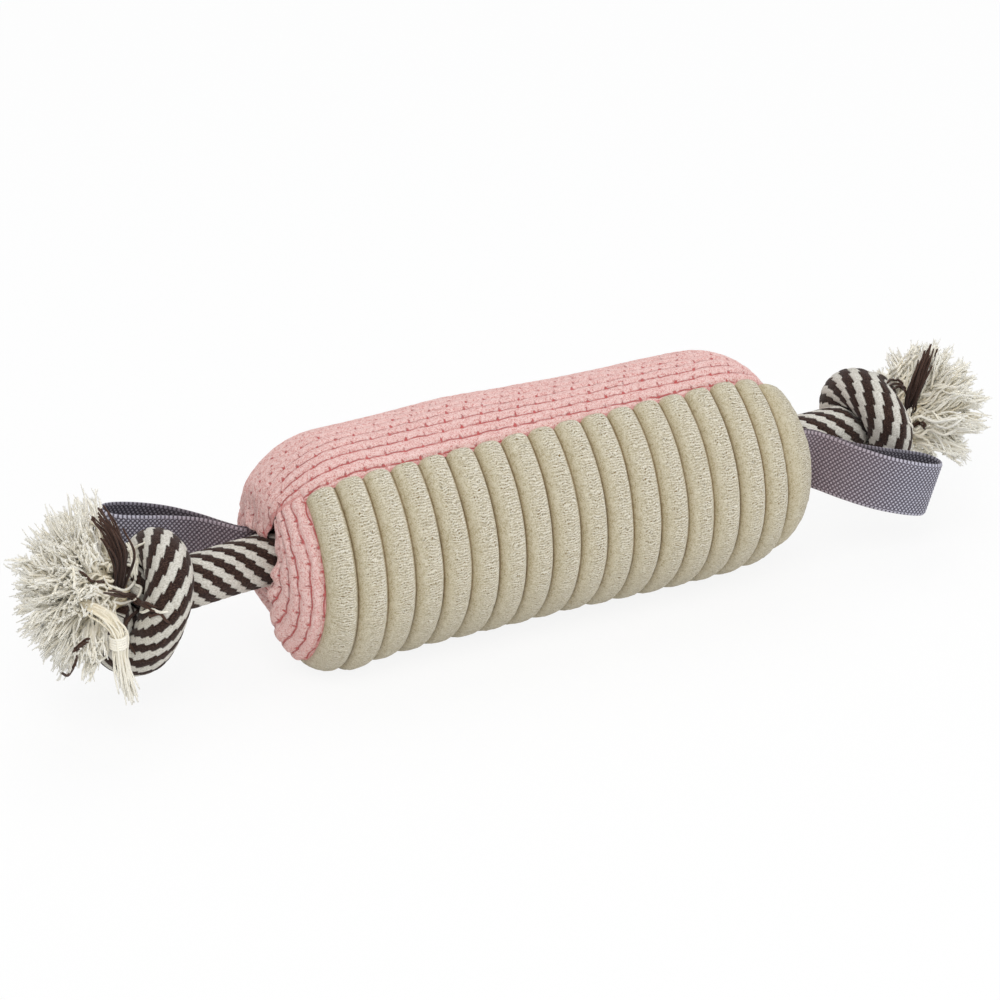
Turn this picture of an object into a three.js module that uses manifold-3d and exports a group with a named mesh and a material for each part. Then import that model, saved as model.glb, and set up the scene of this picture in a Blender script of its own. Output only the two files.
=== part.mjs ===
// Fabric dog toy: a stuffed bolster of corduroy and ribbed plush on a braided cotton rope, with a
// knot, a frayed tassel and a webbing loop at each end.
// Millimetres, +Z up, X along the toy, -Y the ribbed front. The origin is on the ground, under the
// crest of the rib next to the middle.

import * as THREE from 'three';
import { mergeVertices } from 'three/addons/utils/BufferGeometryUtils.js';
import Module from 'manifold-3d';

const wasm = await Module();
wasm.setup();

// Gaps between pieces, and the overrun of cutting shapes
const CLEARANCE = 0.3;
const OVERRUN = 5;

// Ribbed plush panel
const RIB_COUNT = 18;
const RIBS_LEFT_OF_ORIGIN = 9.5;
const RIB_PITCH = 12.6;
const RIB_HEIGHT = 2.4;
const RIB_FLANK_SHARE = 0.24;
const TOP_SEAM_LEFT_DEG = 60;
const TOP_SEAM_RIGHT_DEG = 71;
const BOTTOM_SEAM_DEG = -115;
const LEFT_END_BEYOND_PANEL = 14;
const RIGHT_END_BEYOND_PANEL = 11;

// Stuffed body
const BODY_RADIUS = 47.6;
const BODY_CROWN = 0.4;
const LEFT_END_DEPTH = 45;
const RIGHT_END_DEPTH = 54;
const END_POWER = 2.8;
const CLOTH_THICKNESS = 1.6;
const FLAT_DEPTH = 0.5;

// Each end is drawn in round the rope
const DIMPLE_RADIUS = 32;
const DIMPLE_DEPTH = 14;

// Corduroy
const WALE_PITCH = 5.5;
const WALE_HEIGHT = 1.2;
const WALE_BASE = 0.5;

// The seam across each end, from the panel's top corner past the rope to the back
const END_SEAM_ABOVE_ROPE = 10.5;
const END_SEAM_AT_BACK = 8;

// Rope
const ROPE_RADIUS = 11;
const ROPE_BEND_BEYOND_END = 2;
const ROPE_SOCKET_DEG = 50;
const ROPE_SHOULDER_DEPTH = 4;
const REST_YAW_DEG = 9;
const LEFT_ROPE_TILT_DEG = 0;
const RIGHT_ROPE_TILT_DEG = 4;

// Knot: an overhand knot drawn tight, with the rope squeezed to a smaller section. Its route is in
// pitches of the knotted rope: outwards from the body, across, and up. Each knot is turned about the
// rope.
const KNOT_ROPE_RADIUS = 7;
const KNOT_TURN_GAP = 1.1;
const LEFT_KNOT_DISTANCE = 51;
const RIGHT_KNOT_DISTANCE = 49;
const LEFT_KNOT_TURN_DEG = 20;
const RIGHT_KNOT_TURN_DEG = 40;
const KNOT_ROUTE_SHARES = [
  [-1.2, 0, 0], [-0.85, 0, 0], [-0.5, 0.02, 0.03], [-0.15, 0.1, 0.16], [0.18, 0.4, 0.22],
  [0.44, 0.82, -0.02], [0.6, 1.09, -0.5], [0.64, 1.04, -1.08], [0.63, 0.62, -1.58],
  [0.56, 0.05, -1.77], [0.43, -0.45, -1.6], [0.22, -0.83, -1.14], [0.05, -0.93, -0.55],
  [-0.07, -0.94, 0.12], [-0.24, -0.79, 0.68], [-0.44, -0.36, 1.04], [-0.59, 0.2, 1.08],
  [-0.64, 0.72, 0.82], [-0.63, 1.01, 0.33], [-0.56, 1.01, -0.22], [-0.38, 0.75, -0.68],
  [-0.06, 0.34, -0.87], [0.42, 0.1, -0.75], [0.86, 0.03, -0.44], [1.16, 0, 0.02],
];

// Webbing, and the route of its strap in shares of the loop's length and of how far it bows
// away from the rope
const WEBBING_WIDTH = 25;
const WEBBING_THICKNESS = 1.8;
const LOOP_LENGTH = 58;
const LOOP_BOW = 23.4;
const LOOP_PIVOT_BEYOND_END = 1.5;
const LOOP_BESIDE_ROPE = 5;
const LEFT_LOOP_BELOW_ROPE = 4;
const RIGHT_LOOP_BELOW_ROPE = 0;
const LEFT_LOOP_DROOP_DEG = 14;
const RIGHT_LOOP_DROOP_DEG = 19;
const TAB_LENGTH = 22;
const LOOP_ROUTE_SHARES = [
  [0.13, 0.14], [0.28, 0.355], [0.5, 0.43], [0.73, 0.41], [0.905, 0.43], [0.978, 0.53], [1, 0.684],
  [0.978, 0.838], [0.905, 0.95], [0.7, 0.99], [0.467, 0.86], [0.26, 0.54], [0.13, 0.24],
];

// Tassel: its outline and the tufts round it, in shares of its length and radius
const TASSEL_PROFILE_SHARES = [
  [0, 0.22], [0.03, 0.55], [0.1, 0.84], [0.28, 1], [0.55, 0.97], [0.8, 0.78], [0.93, 0.52], [1, 0.24],
];
const TUFT_COUNT = 14;
const TUFT_DEPTH_SHARE = 0.07;
const TASSEL_OVER_TAIL = 2.5;
const LEFT_TASSEL_RADIUS = 35;
const LEFT_TASSEL_LENGTH = 35;
const LEFT_TASSEL_LEAN_DEG = 38;
const LEFT_TASSEL_RISE = 6;
const RIGHT_TASSEL_RADIUS = 28;
const RIGHT_TASSEL_LENGTH = 36;
const RIGHT_TASSEL_LEAN_DEG = 0;
const RIGHT_TASSEL_RISE = -4;

// Bunches of strands, thinner at their ends than in the middle
const BUNCH_END_SHARE = 0.45;
const BUNCH_START_SHARE = 0.12;

// Dark strands, along the tassel's inner face to its top, in shares of its length and radius
const DARK_BUNCH_RADIUS = 4.2;
const DARK_BUNCH_ROUTE_SHARES = [
  [0.2, -0.1, 0.3], [0.06, -0.14, 0.6], [0, -0.16, 0.86], [0.06, -0.16, 1.1], [0.2, -0.14, 1.26],
];

// Hanging strands, from the tassel down past the knot's front: outwards and across in radii of the
// bunch, and down in shares of its length
const HANGING_RADIUS = 3.6;
const HANGING_LENGTH = 40;
const HANGING_BEYOND_KNOT = 17;
const HANGING_BEFORE_KNOT = 2.6;
const HANGING_TOP = 6;
const HANGING_ROUTE_SHARES = [
  [3, 2, -0.14], [1, 0.5, 0], [0, 0, 0.2], [0, 0, 0.45], [-0.5, 0, 0.75], [-1, 0, 1],
];
const TIE_BELOW_TOP = 12;
const TIE_LENGTH = 6;
const TIE_THICKNESS = 1.4;

// Squeaker
const SQUEAKER_RADIUS = 16;
const SQUEAKER_DEPTH = 18;
const SQUEAKER_EDGE = 4;
const SQUEAKER_X = 45;
const REED_RADIUS = 4.5;
const REED_DEPTH = 7;
const REED_RIM_RADIUS = 6;
const REED_RIM_DEPTH = 1.2;

// How finely the round forms are divided
const RIBBED_AROUND = 24;
const BODY_AROUND = 28;
const BODY_END_STEPS = 5;
const BODY_SIDE_STEPS = 2;
const SECTOR_STEPS = 8;
const ROPE_AROUND = 12;
const BEND_RINGS = 8;
const SOCKET_STEPS = 4;
const KNOT_STEPS = 56;
const KNOT_AROUND = 9;
const LOOP_STEPS = 44;
const POST_AROUND = 16;
const BUNCH_STEPS = 13;
const BUNCH_AROUND = 8;
const SQUEAKER_AROUND = 20;

// The two ends differ in how far the rope shows and how it has dropped
const ENDS = {
  left: {
    side: -1,
    ropeTiltDeg: LEFT_ROPE_TILT_DEG,
    knotDistance: LEFT_KNOT_DISTANCE,
    knotTurnDeg: LEFT_KNOT_TURN_DEG,
    loopBelowRope: LEFT_LOOP_BELOW_ROPE,
    loopDroopDeg: LEFT_LOOP_DROOP_DEG,
    tasselRadius: LEFT_TASSEL_RADIUS,
    tasselLength: LEFT_TASSEL_LENGTH,
    tasselLeanDeg: LEFT_TASSEL_LEAN_DEG,
    tasselRise: LEFT_TASSEL_RISE,
  },
  right: {
    side: 1,
    ropeTiltDeg: RIGHT_ROPE_TILT_DEG,
    knotDistance: RIGHT_KNOT_DISTANCE,
    knotTurnDeg: RIGHT_KNOT_TURN_DEG,
    loopBelowRope: RIGHT_LOOP_BELOW_ROPE,
    loopDroopDeg: RIGHT_LOOP_DROOP_DEG,
    tasselRadius: RIGHT_TASSEL_RADIUS,
    tasselLength: RIGHT_TASSEL_LENGTH,
    tasselLeanDeg: RIGHT_TASSEL_LEAN_DEG,
    tasselRise: RIGHT_TASSEL_RISE,
  },
};

const PANEL_LEFT = -RIBS_LEFT_OF_ORIGIN * RIB_PITCH;
const PANEL_RIGHT = (RIB_COUNT - RIBS_LEFT_OF_ORIGIN) * RIB_PITCH;
const BODY_MIDDLE = (PANEL_LEFT + PANEL_RIGHT) / 2;
const SHOULDER_LEFT = PANEL_LEFT - LEFT_END_BEYOND_PANEL + LEFT_END_DEPTH;
const SHOULDER_RIGHT = PANEL_RIGHT + RIGHT_END_BEYOND_PANEL - RIGHT_END_DEPTH;
const HALF_BODY = (SHOULDER_RIGHT - SHOULDER_LEFT) / 2;
const AXIS_HEIGHT = BODY_RADIUS + RIB_HEIGHT - FLAT_DEPTH;
const COVER_REACH = BODY_RADIUS + RIB_HEIGHT + OVERRUN;
const KNOT_PITCH = 2 * KNOT_ROPE_RADIUS + KNOT_TURN_GAP;
const SOCKET_RADIUS = ROPE_RADIUS + CLEARANCE;
const LOOP_ROOT_RADIUS = WEBBING_THICKNESS + CLEARANCE;

const COLOURS = {
  cream: { color: 0xd9cfb0, roughness: 0.95, metalness: 0 },
  pink: { color: 0xe9a9a4, roughness: 0.92, metalness: 0 },
  filling: { color: 0xf2f0ea, roughness: 1, metalness: 0 },
  rope: { color: 0x8d7d74, roughness: 0.9, metalness: 0 },
  tassel: { color: 0xe6e0cf, roughness: 0.95, metalness: 0 },
  darkYarn: { color: 0x3a2723, roughness: 0.95, metalness: 0 },
  webbing: { color: 0x837c8b, roughness: 0.75, metalness: 0 },
  squeaker: { color: 0xeeeeee, roughness: 0.4, metalness: 0 },
};

const toy = new THREE.Group();
toy.position.z = AXIS_HEIGHT;

function addMesh(parent, name, geometry, look) {
  const mesh = new THREE.Mesh(geometry, new THREE.MeshStandardMaterial(COLOURS[look]));
  mesh.name = name;
  parent.add(mesh);
  return mesh;
}

function radians(degrees) {
  return degrees * Math.PI / 180;
}

// Closed solids and back

function toSolid(geometry) {
  const bare = geometry.clone();
  bare.deleteAttribute('normal');
  bare.deleteAttribute('uv');
  const merged = mergeVertices(bare);
  return new wasm.Manifold(new wasm.Mesh({
    numProp: 3,
    vertProperties: new Float32Array(merged.attributes.position.array),
    triVerts: new Uint32Array(merged.index.array),
  }));
}

function toGeometry(solid) {
  const mesh = solid.getMesh();
  const geometry = new THREE.BufferGeometry();
  geometry.setAttribute('position', new THREE.BufferAttribute(new Float32Array(mesh.vertProperties), 3));
  geometry.setIndex(new THREE.BufferAttribute(new Uint32Array(mesh.triVerts), 1));
  geometry.computeVertexNormals();
  return geometry;
}

function cut(geometry, ...cutters) {
  let solid = toSolid(geometry);
  for (const cutter of cutters) {
    solid = solid.subtract(toSolid(cutter));
  }
  return toGeometry(solid);
}

function common(geometry, ...others) {
  let solid = toSolid(geometry);
  for (const other of others) {
    solid = solid.intersect(toSolid(other));
  }
  return toGeometry(solid);
}

// A solid from rings of as many points each, closed at both ends by a fan about a point
function stackedRings(rings, startPoint, endPoint) {
  const count = rings[0].length;
  const points = [...rings.flat(), startPoint, endPoint];
  const start = rings.length * count;
  const end = start + 1;
  const faces = [];
  for (let i = 0; i < count; i++) {
    const next = (i + 1) % count;
    faces.push(start, next, i);
    const last = (rings.length - 1) * count;
    faces.push(end, last + i, last + next);
    for (let ring = 0; ring < rings.length - 1; ring++) {
      const low = ring * count;
      const high = low + count;
      faces.push(low + i, low + next, high + next);
      faces.push(low + i, high + next, high + i);
    }
  }
  const geometry = new THREE.BufferGeometry();
  const places = new Float32Array(points.flatMap((p) => [p.x, p.y, p.z]));
  geometry.setAttribute('position', new THREE.BufferAttribute(places, 3));
  geometry.setIndex(faces);
  return facingOut(geometry);
}

function facingOut(geometry) {
  const places = geometry.attributes.position;
  const index = geometry.index.array;
  const [a, b, c] = [new THREE.Vector3(), new THREE.Vector3(), new THREE.Vector3()];
  let volume = 0;
  for (let i = 0; i < index.length; i += 3) {
    a.fromBufferAttribute(places, index[i]);
    b.fromBufferAttribute(places, index[i + 1]);
    c.fromBufferAttribute(places, index[i + 2]);
    volume += a.dot(b.cross(c));
  }
  if (volume < 0) {
    for (let i = 0; i < index.length; i += 3) {
      [index[i], index[i + 1]] = [index[i + 1], index[i]];
    }
  }
  geometry.computeVertexNormals();
  return geometry;
}

// A point at distance x along the toy, radius r from its axis, and an angle that is zero at the
// front and turns over the top
function aroundAxis(x, radius, angle) {
  return new THREE.Vector3(x, -radius * Math.cos(angle), radius * Math.sin(angle));
}

function ringAt(x, around, radiusAt) {
  const ring = [];
  for (let i = 0; i < around; i++) {
    const angle = i / around * 2 * Math.PI;
    ring.push(aroundAxis(x, radiusAt(angle, i), angle));
  }
  return ring;
}

// A turned solid about the X axis, from a profile of x and radius
function turned(profile, around) {
  const middle = profile.slice(1, -1);
  const rings = middle.map((station) => ringAt(station.x, around, () => station.r));
  const start = new THREE.Vector3(profile[0].x, 0, 0);
  const end = new THREE.Vector3(profile[profile.length - 1].x, 0, 0);
  return stackedRings(rings, start, end);
}

// A solid swept along a curve, with a radius that may change
function swept(curve, steps, around, radiusAt) {
  const frames = curve.computeFrenetFrames(steps, false);
  const rings = [];
  for (let step = 0; step <= steps; step++) {
    const share = step / steps;
    const centre = curve.getPointAt(share);
    const ring = [];
    for (let i = 0; i < around; i++) {
      const angle = i / around * 2 * Math.PI;
      const point = centre.clone();
      point.addScaledVector(frames.normals[step], radiusAt(share) * Math.cos(angle));
      point.addScaledVector(frames.binormals[step], radiusAt(share) * Math.sin(angle));
      ring.push(point);
    }
    rings.push(ring);
  }
  return stackedRings(rings, curve.getPointAt(0), curve.getPointAt(1));
}

// The body's outline

function endDepth(side) {
  return side < 0 ? LEFT_END_DEPTH : RIGHT_END_DEPTH;
}

function sideRadius(x) {
  const offMiddle = (x - BODY_MIDDLE) / HALF_BODY;
  const full = BODY_RADIUS - BODY_CROWN * Math.min(1, offMiddle * offMiddle);
  const pastLeft = (SHOULDER_LEFT - x) / LEFT_END_DEPTH;
  const pastRight = (x - SHOULDER_RIGHT) / RIGHT_END_DEPTH;
  const past = Math.max(pastLeft, pastRight, 0);
  return full * (1 - past ** END_POWER) ** (1 / END_POWER);
}

// How far in the end is drawn at a distance from the rope's middle
function dimpleAt(radius) {
  return DIMPLE_DEPTH * Math.max(0, 1 - radius / DIMPLE_RADIUS);
}

function endStation(side, share) {
  const turn = share * Math.PI / 2;
  const along = Math.cos(turn) ** (2 / END_POWER);
  const across = Math.sin(turn) ** (2 / END_POWER);
  const shoulder = side < 0 ? SHOULDER_LEFT : SHOULDER_RIGHT;
  const full = sideRadius(shoulder);
  const depth = endDepth(side);
  const normal = new THREE.Vector2(
    side * along ** (END_POWER - 1) / depth,
    across ** (END_POWER - 1) / full,
  ).normalize();
  const r = full * across;
  const x = shoulder + side * (depth * along - dimpleAt(r));
  return { x, r, nx: normal.x, nr: normal.y };
}

function sideStation(x) {
  return { x, r: sideRadius(x), nx: 0, nr: 1 };
}

function endX(side) {
  return side < 0 ? SHOULDER_LEFT - LEFT_END_DEPTH : SHOULDER_RIGHT + RIGHT_END_DEPTH;
}

// Stations from the middle of the left end to the middle of the right end
function bodyStations(endSteps, sideSteps) {
  const stations = [];
  for (let i = 1; i <= endSteps; i++) {
    stations.push(endStation(-1, i / endSteps));
  }
  for (let i = 1; i < sideSteps; i++) {
    stations.push(sideStation(SHOULDER_LEFT + (SHOULDER_RIGHT - SHOULDER_LEFT) * i / sideSteps));
  }
  for (let i = endSteps; i >= 1; i--) {
    stations.push(endStation(1, i / endSteps));
  }
  return stations;
}

function bodySolid(stations, around, reliefAt) {
  const rings = stations.map((station, order) => {
    const ring = [];
    for (let i = 0; i < around; i++) {
      const relief = reliefAt(i, order);
      const angle = i / around * 2 * Math.PI;
      ring.push(aroundAxis(station.x + station.nx * relief, station.r + station.nr * relief, angle));
    }
    return ring;
  });
  const relief = reliefAt(0, 0);
  const start = new THREE.Vector3(endX(-1) + DIMPLE_DEPTH - relief, 0, 0);
  const end = new THREE.Vector3(endX(1) - DIMPLE_DEPTH + relief, 0, 0);
  return stackedRings(rings, start, end);
}

function plainBody(offset) {
  return bodySolid(bodyStations(BODY_END_STEPS, BODY_SIDE_STEPS), BODY_AROUND, () => offset);
}

// Ribs run round the body: a narrow channel, a flank, a broad crest
function ribbedBody() {
  const rings = [];
  for (let rib = 0; rib < RIB_COUNT; rib++) {
    const left = PANEL_LEFT + rib * RIB_PITCH;
    for (const share of [0, RIB_FLANK_SHARE, 1 - RIB_FLANK_SHARE]) {
      const x = left + share * RIB_PITCH;
      const height = share === 0 ? 0 : RIB_HEIGHT;
      rings.push(ringAt(x, RIBBED_AROUND, () => sideRadius(x) + height));
    }
  }
  rings.push(ringAt(PANEL_RIGHT, RIBBED_AROUND, () => sideRadius(PANEL_RIGHT)));
  const start = new THREE.Vector3(PANEL_LEFT, 0, 0);
  return stackedRings(rings, start, new THREE.Vector3(PANEL_RIGHT, 0, 0));
}

// Wales run along the body and over its ends
function walesAlong() {
  const wales = Math.round(2 * Math.PI * BODY_RADIUS / WALE_PITCH);
  const stations = bodyStations(BODY_END_STEPS, BODY_SIDE_STEPS);
  return bodySolid(stations, 2 * wales, (i) => WALE_BASE + (i % 2 === 0 ? 0 : WALE_HEIGHT));
}

// The share of an end's curve at which it has a given radius
function endShareAt(radius) {
  return Math.asin((radius / BODY_RADIUS) ** (END_POWER / 2)) / (Math.PI / 2);
}

// Wales run round the end, one inside the other, from the rope outwards
function walesRoundEnd() {
  const steps = 2 * Math.floor((BODY_RADIUS - ROPE_RADIUS) / WALE_PITCH);
  const left = [];
  const right = [];
  for (let i = 0; i <= steps; i++) {
    const share = endShareAt(BODY_RADIUS - (steps - i) * WALE_PITCH / 2);
    left.push(endStation(-1, share));
    right.unshift(endStation(1, share));
  }
  return bodySolid([...left, ...right], BODY_AROUND, (i, order) => {
    return WALE_BASE + (order % 2 === 0 ? 0 : WALE_HEIGHT);
  });
}

// The share of the body's round that the ribbed panel covers, with the seams a given gap wider
function panelSector(gap) {
  const widen = gap / BODY_RADIUS;
  const sections = [
    { x: PANEL_LEFT - gap, top: radians(TOP_SEAM_LEFT_DEG) },
    { x: PANEL_RIGHT + gap, top: radians(TOP_SEAM_RIGHT_DEG) },
  ];
  const rings = sections.map(({ x, top }) => {
    const from = radians(BOTTOM_SEAM_DEG) - widen;
    const to = top + widen;
    const ring = [new THREE.Vector3(x, 0, 0)];
    for (let i = 0; i <= SECTOR_STEPS; i++) {
      ring.push(aroundAxis(x, COVER_REACH, from + (to - from) * i / SECTOR_STEPS));
    }
    return ring;
  });
  return stackedRings(rings, rings[0][0].clone().setY(-OVERRUN), rings[1][0].clone().setY(-OVERRUN));
}

// What lies below the seam across an end, outside the ribbed panel
function belowEndSeam(side, gap) {
  const seamAngle = radians(side < 0 ? TOP_SEAM_LEFT_DEG : TOP_SEAM_RIGHT_DEG);
  const corner = aroundAxis(0, 2 * COVER_REACH, seamAngle);
  const outline = new THREE.Shape([
    new THREE.Vector2(corner.y + gap, corner.z + gap),
    new THREE.Vector2(gap, END_SEAM_ABOVE_ROPE + gap),
    new THREE.Vector2(COVER_REACH, END_SEAM_AT_BACK + gap),
    new THREE.Vector2(COVER_REACH, -COVER_REACH),
    new THREE.Vector2(corner.y - COVER_REACH, -COVER_REACH),
    new THREE.Vector2(corner.y - COVER_REACH, corner.z + gap),
  ]);
  const inner = side < 0 ? PANEL_LEFT - CLEARANCE + gap : PANEL_RIGHT + CLEARANCE - gap;
  const depth = endDepth(side) + 2 * OVERRUN;
  const prism = new THREE.ExtrudeGeometry(outline, { depth, bevelEnabled: false });
  prism.rotateX(Math.PI / 2);
  prism.rotateZ(Math.PI / 2);
  return prism.translate(side < 0 ? inner - depth : inner, 0, 0);
}

function block(lowX, highX, lowY, highY, lowZ, highZ) {
  const box = new THREE.BoxGeometry(highX - lowX, highY - lowY, highZ - lowZ);
  return box.translate((lowX + highX) / 2, (lowY + highY) / 2, (lowZ + highZ) / 2);
}

// The rope through the body, with a hollow socket in each end where it bends

function bendX(side) {
  return endX(side) + side * ROPE_BEND_BEYOND_END;
}

// The socket's wall from its deepest point to its rim, then the rope's outside, both measured
// from the bend along the rope
function socketProfile(direction) {
  const profile = [];
  for (let i = 0; i <= SOCKET_STEPS; i++) {
    const angle = radians(ROPE_SOCKET_DEG) * i / SOCKET_STEPS;
    profile.push({ x: direction * SOCKET_RADIUS * Math.cos(angle), r: SOCKET_RADIUS * Math.sin(angle) });
  }
  const rim = SOCKET_RADIUS * Math.cos(radians(ROPE_SOCKET_DEG));
  profile.push({ x: direction * (rim + ROPE_SHOULDER_DEPTH), r: ROPE_RADIUS });
  return profile;
}

function ropeCore() {
  const left = socketProfile(1).map(({ x, r }) => ({ x: x + bendX(-1), r }));
  const right = socketProfile(-1).map(({ x, r }) => ({ x: x + bendX(1), r }));
  return turned([...left, ...right.reverse()], ROPE_AROUND);
}

function ropeBore() {
  return turned([
    { x: bendX(-1), r: 0 },
    { x: bendX(-1), r: SOCKET_RADIUS },
    { x: bendX(1), r: SOCKET_RADIUS },
    { x: bendX(1), r: 0 },
  ], ROPE_AROUND);
}

// Webbing loops: the strap doubled, sewn into the end seam beside the rope

function loopFrame(end) {
  const group = new THREE.Group();
  const x = endX(end.side) + end.side * LOOP_PIVOT_BEYOND_END;
  group.position.set(x, -end.side * (ROPE_RADIUS + LOOP_BESIDE_ROPE), -end.loopBelowRope);
  group.rotation.y = radians(end.loopDroopDeg);
  group.updateMatrix();
  return group;
}

// The strap's two ends, one on the other inside the seam
function webbingTab(end, extra) {
  const half = WEBBING_THICKNESS + CLEARANCE / 2 + extra;
  const wide = WEBBING_WIDTH / 2 + extra;
  const outer = extra > 0 ? OVERRUN : 0;
  const from = end.side < 0 ? -outer : -TAB_LENGTH - extra;
  const to = end.side < 0 ? TAB_LENGTH + extra : outer;
  return block(from, to, -half, half, -wide, wide);
}

function upright(radius, height) {
  const post = new THREE.CylinderGeometry(radius, radius, height, POST_AROUND);
  return post.rotateX(Math.PI / 2);
}

// The strap's route in plan, outwards and away from the rope
function loopRoute() {
  const half = (WEBBING_THICKNESS + CLEARANCE) / 2;
  const root = LOOP_ROOT_RADIUS / 2;
  const strap = LOOP_ROUTE_SHARES.map(([outShare, asideShare]) => {
    return new THREE.Vector3(outShare * LOOP_LENGTH, asideShare * LOOP_BOW, 0);
  });
  const points = [new THREE.Vector3(root, -half, 0), ...strap, new THREE.Vector3(root, half, 0)];
  return new THREE.CatmullRomCurve3(points, false, 'centripetal');
}

function webbingLoop(end) {
  const route = loopRoute();
  const sideways = (share, offset) => {
    const point = route.getPointAt(share);
    const along = route.getTangentAt(share);
    return new THREE.Vector2(
      end.side * (point.x - along.y * offset),
      -end.side * (point.y + along.x * offset),
    );
  };
  const outline = [];
  for (let i = 0; i <= LOOP_STEPS; i++) {
    outline.push(sideways(i / LOOP_STEPS, -WEBBING_THICKNESS / 2));
  }
  for (let i = LOOP_STEPS; i >= 0; i--) {
    outline.push(sideways(i / LOOP_STEPS, WEBBING_THICKNESS / 2));
  }
  const strap = new THREE.ExtrudeGeometry(new THREE.Shape(outline), {
    depth: WEBBING_WIDTH,
    bevelEnabled: false,
  });
  strap.translate(0, 0, -WEBBING_WIDTH / 2);
  const root = upright(LOOP_ROOT_RADIUS, WEBBING_WIDTH);
  return toGeometry(toSolid(strap).add(toSolid(root)));
}

function knotPoints(end) {
  const turn = radians(end.knotTurnDeg);
  return KNOT_ROUTE_SHARES.map(([out, across, up]) => {
    const point = new THREE.Vector3(0, across * KNOT_PITCH, up * KNOT_PITCH);
    point.applyAxisAngle(new THREE.Vector3(1, 0, 0), turn);
    return point.setX(end.side * (end.knotDistance + out * KNOT_PITCH));
  });
}

function knotRoute(end) {
  return new THREE.CatmullRomCurve3(knotPoints(end), false, 'centripetal');
}

// The least distance between turns that don't follow on each other
function leastGap(route, radius) {
  const steps = 300;
  const apart = 1.5 * KNOT_PITCH;
  const length = route.getLength();
  const points = route.getSpacedPoints(steps);
  let least = Infinity;
  for (let i = 0; i <= steps; i++) {
    for (let j = i + 1; j <= steps; j++) {
      if ((j - i) / steps * length > apart) {
        least = Math.min(least, points[i].distanceTo(points[j]) - 2 * radius);
      }
    }
  }
  return least;
}

function knotTube(end, extra) {
  return swept(knotRoute(end), KNOT_STEPS, KNOT_AROUND, () => KNOT_ROPE_RADIUS + extra);
}

// The rope from its bend to the knot, narrowing as it goes in
function ropeNeck(end) {
  const stop = end.knotDistance + KNOT_ROUTE_SHARES[0][0] * KNOT_PITCH - CLEARANCE;
  const profile = socketProfile(1);
  const rim = profile[profile.length - 1].x;
  const narrowFrom = Math.max(rim + CLEARANCE, stop - ROPE_SHOULDER_DEPTH);
  profile[profile.length - 1].x = Math.min(rim, stop - 2 * CLEARANCE);
  if (narrowFrom < stop) {
    profile.push({ x: narrowFrom, r: ROPE_RADIUS });
  }
  profile.push({ x: stop, r: KNOT_ROPE_RADIUS });
  profile.push({ x: stop, r: 0 });
  return turned(profile.map(({ x, r }) => ({ x: end.side * x, r })), ROPE_AROUND);
}

// Tassel: a mop of loosened strands that flares from the rope's end, in tufts

function tasselFrame(end) {
  const frame = new THREE.Group();
  const tail = knotRoute(end).getPointAt(1);
  frame.position.set(tail.x - end.side * TASSEL_OVER_TAIL, tail.y, tail.z + end.tasselRise);
  frame.rotation.y = -end.side * radians(end.tasselLeanDeg);
  frame.updateMatrix();
  return frame;
}

function tasselMop(end) {
  const { tasselRadius: radius, tasselLength: length } = end;
  const rings = TASSEL_PROFILE_SHARES.map(([alongShare, radiusShare]) => {
    return ringAt(end.side * length * alongShare, 2 * TUFT_COUNT, (angle, i) => {
      return radius * radiusShare * (1 - (i % 2) * TUFT_DEPTH_SHARE);
    });
  });
  const start = new THREE.Vector3(0, 0, 0);
  return stackedRings(rings, start, new THREE.Vector3(end.side * length, 0, 0));
}

// A bunch of strands, thick in the middle and drawn together at the ends
function strandBunch(points, radius, extra) {
  const route = new THREE.CatmullRomCurve3(points, false, 'centripetal');
  return swept(route, BUNCH_STEPS, BUNCH_AROUND, (share) => {
    const swell = Math.sin(Math.PI * Math.min(1, share + BUNCH_START_SHARE));
    return radius * (BUNCH_END_SHARE + (1 - BUNCH_END_SHARE) * swell) + extra;
  });
}

function darkBunch(end, extra) {
  const { tasselRadius: radius, tasselLength: length } = end;
  const points = DARK_BUNCH_ROUTE_SHARES.map(([out, across, up]) => {
    return new THREE.Vector3(end.side * out * length, across * radius, up * radius);
  });
  return strandBunch(points, DARK_BUNCH_RADIUS, extra);
}

// Where the hanging strands hang: beyond the knot's middle, in front of its foremost turn
function hangingPlace(end) {
  const foremost = Math.max(...knotPoints(end).map((point) => -point.y));
  const across = -(foremost + KNOT_ROPE_RADIUS + HANGING_BEFORE_KNOT + HANGING_RADIUS);
  return new THREE.Vector3(end.side * (end.knotDistance + HANGING_BEYOND_KNOT), across, HANGING_TOP);
}

function hangingBunch(end, extra) {
  const points = HANGING_ROUTE_SHARES.map(([out, across, fall]) => {
    const step = new THREE.Vector3(
      end.side * out * HANGING_RADIUS,
      across * HANGING_RADIUS,
      -fall * HANGING_LENGTH,
    );
    return step.add(hangingPlace(end));
  });
  const route = new THREE.CatmullRomCurve3(points, false, 'centripetal');
  return swept(route, BUNCH_STEPS, BUNCH_AROUND, () => HANGING_RADIUS + extra);
}

function strandTie(end) {
  const inner = HANGING_RADIUS + CLEARANCE;
  const outer = inner + TIE_THICKNESS;
  const ring = new THREE.LatheGeometry([
    new THREE.Vector2(inner, -TIE_LENGTH / 2),
    new THREE.Vector2(outer, -TIE_LENGTH / 2),
    new THREE.Vector2(outer, TIE_LENGTH / 2),
    new THREE.Vector2(inner, TIE_LENGTH / 2),
    new THREE.Vector2(inner, -TIE_LENGTH / 2),
  ], POST_AROUND);
  ring.rotateX(Math.PI / 2);
  const place = hangingPlace(end);
  return ring.translate(place.x, place.y, place.z - TIE_BELOW_TOP);
}

// Covers

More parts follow.
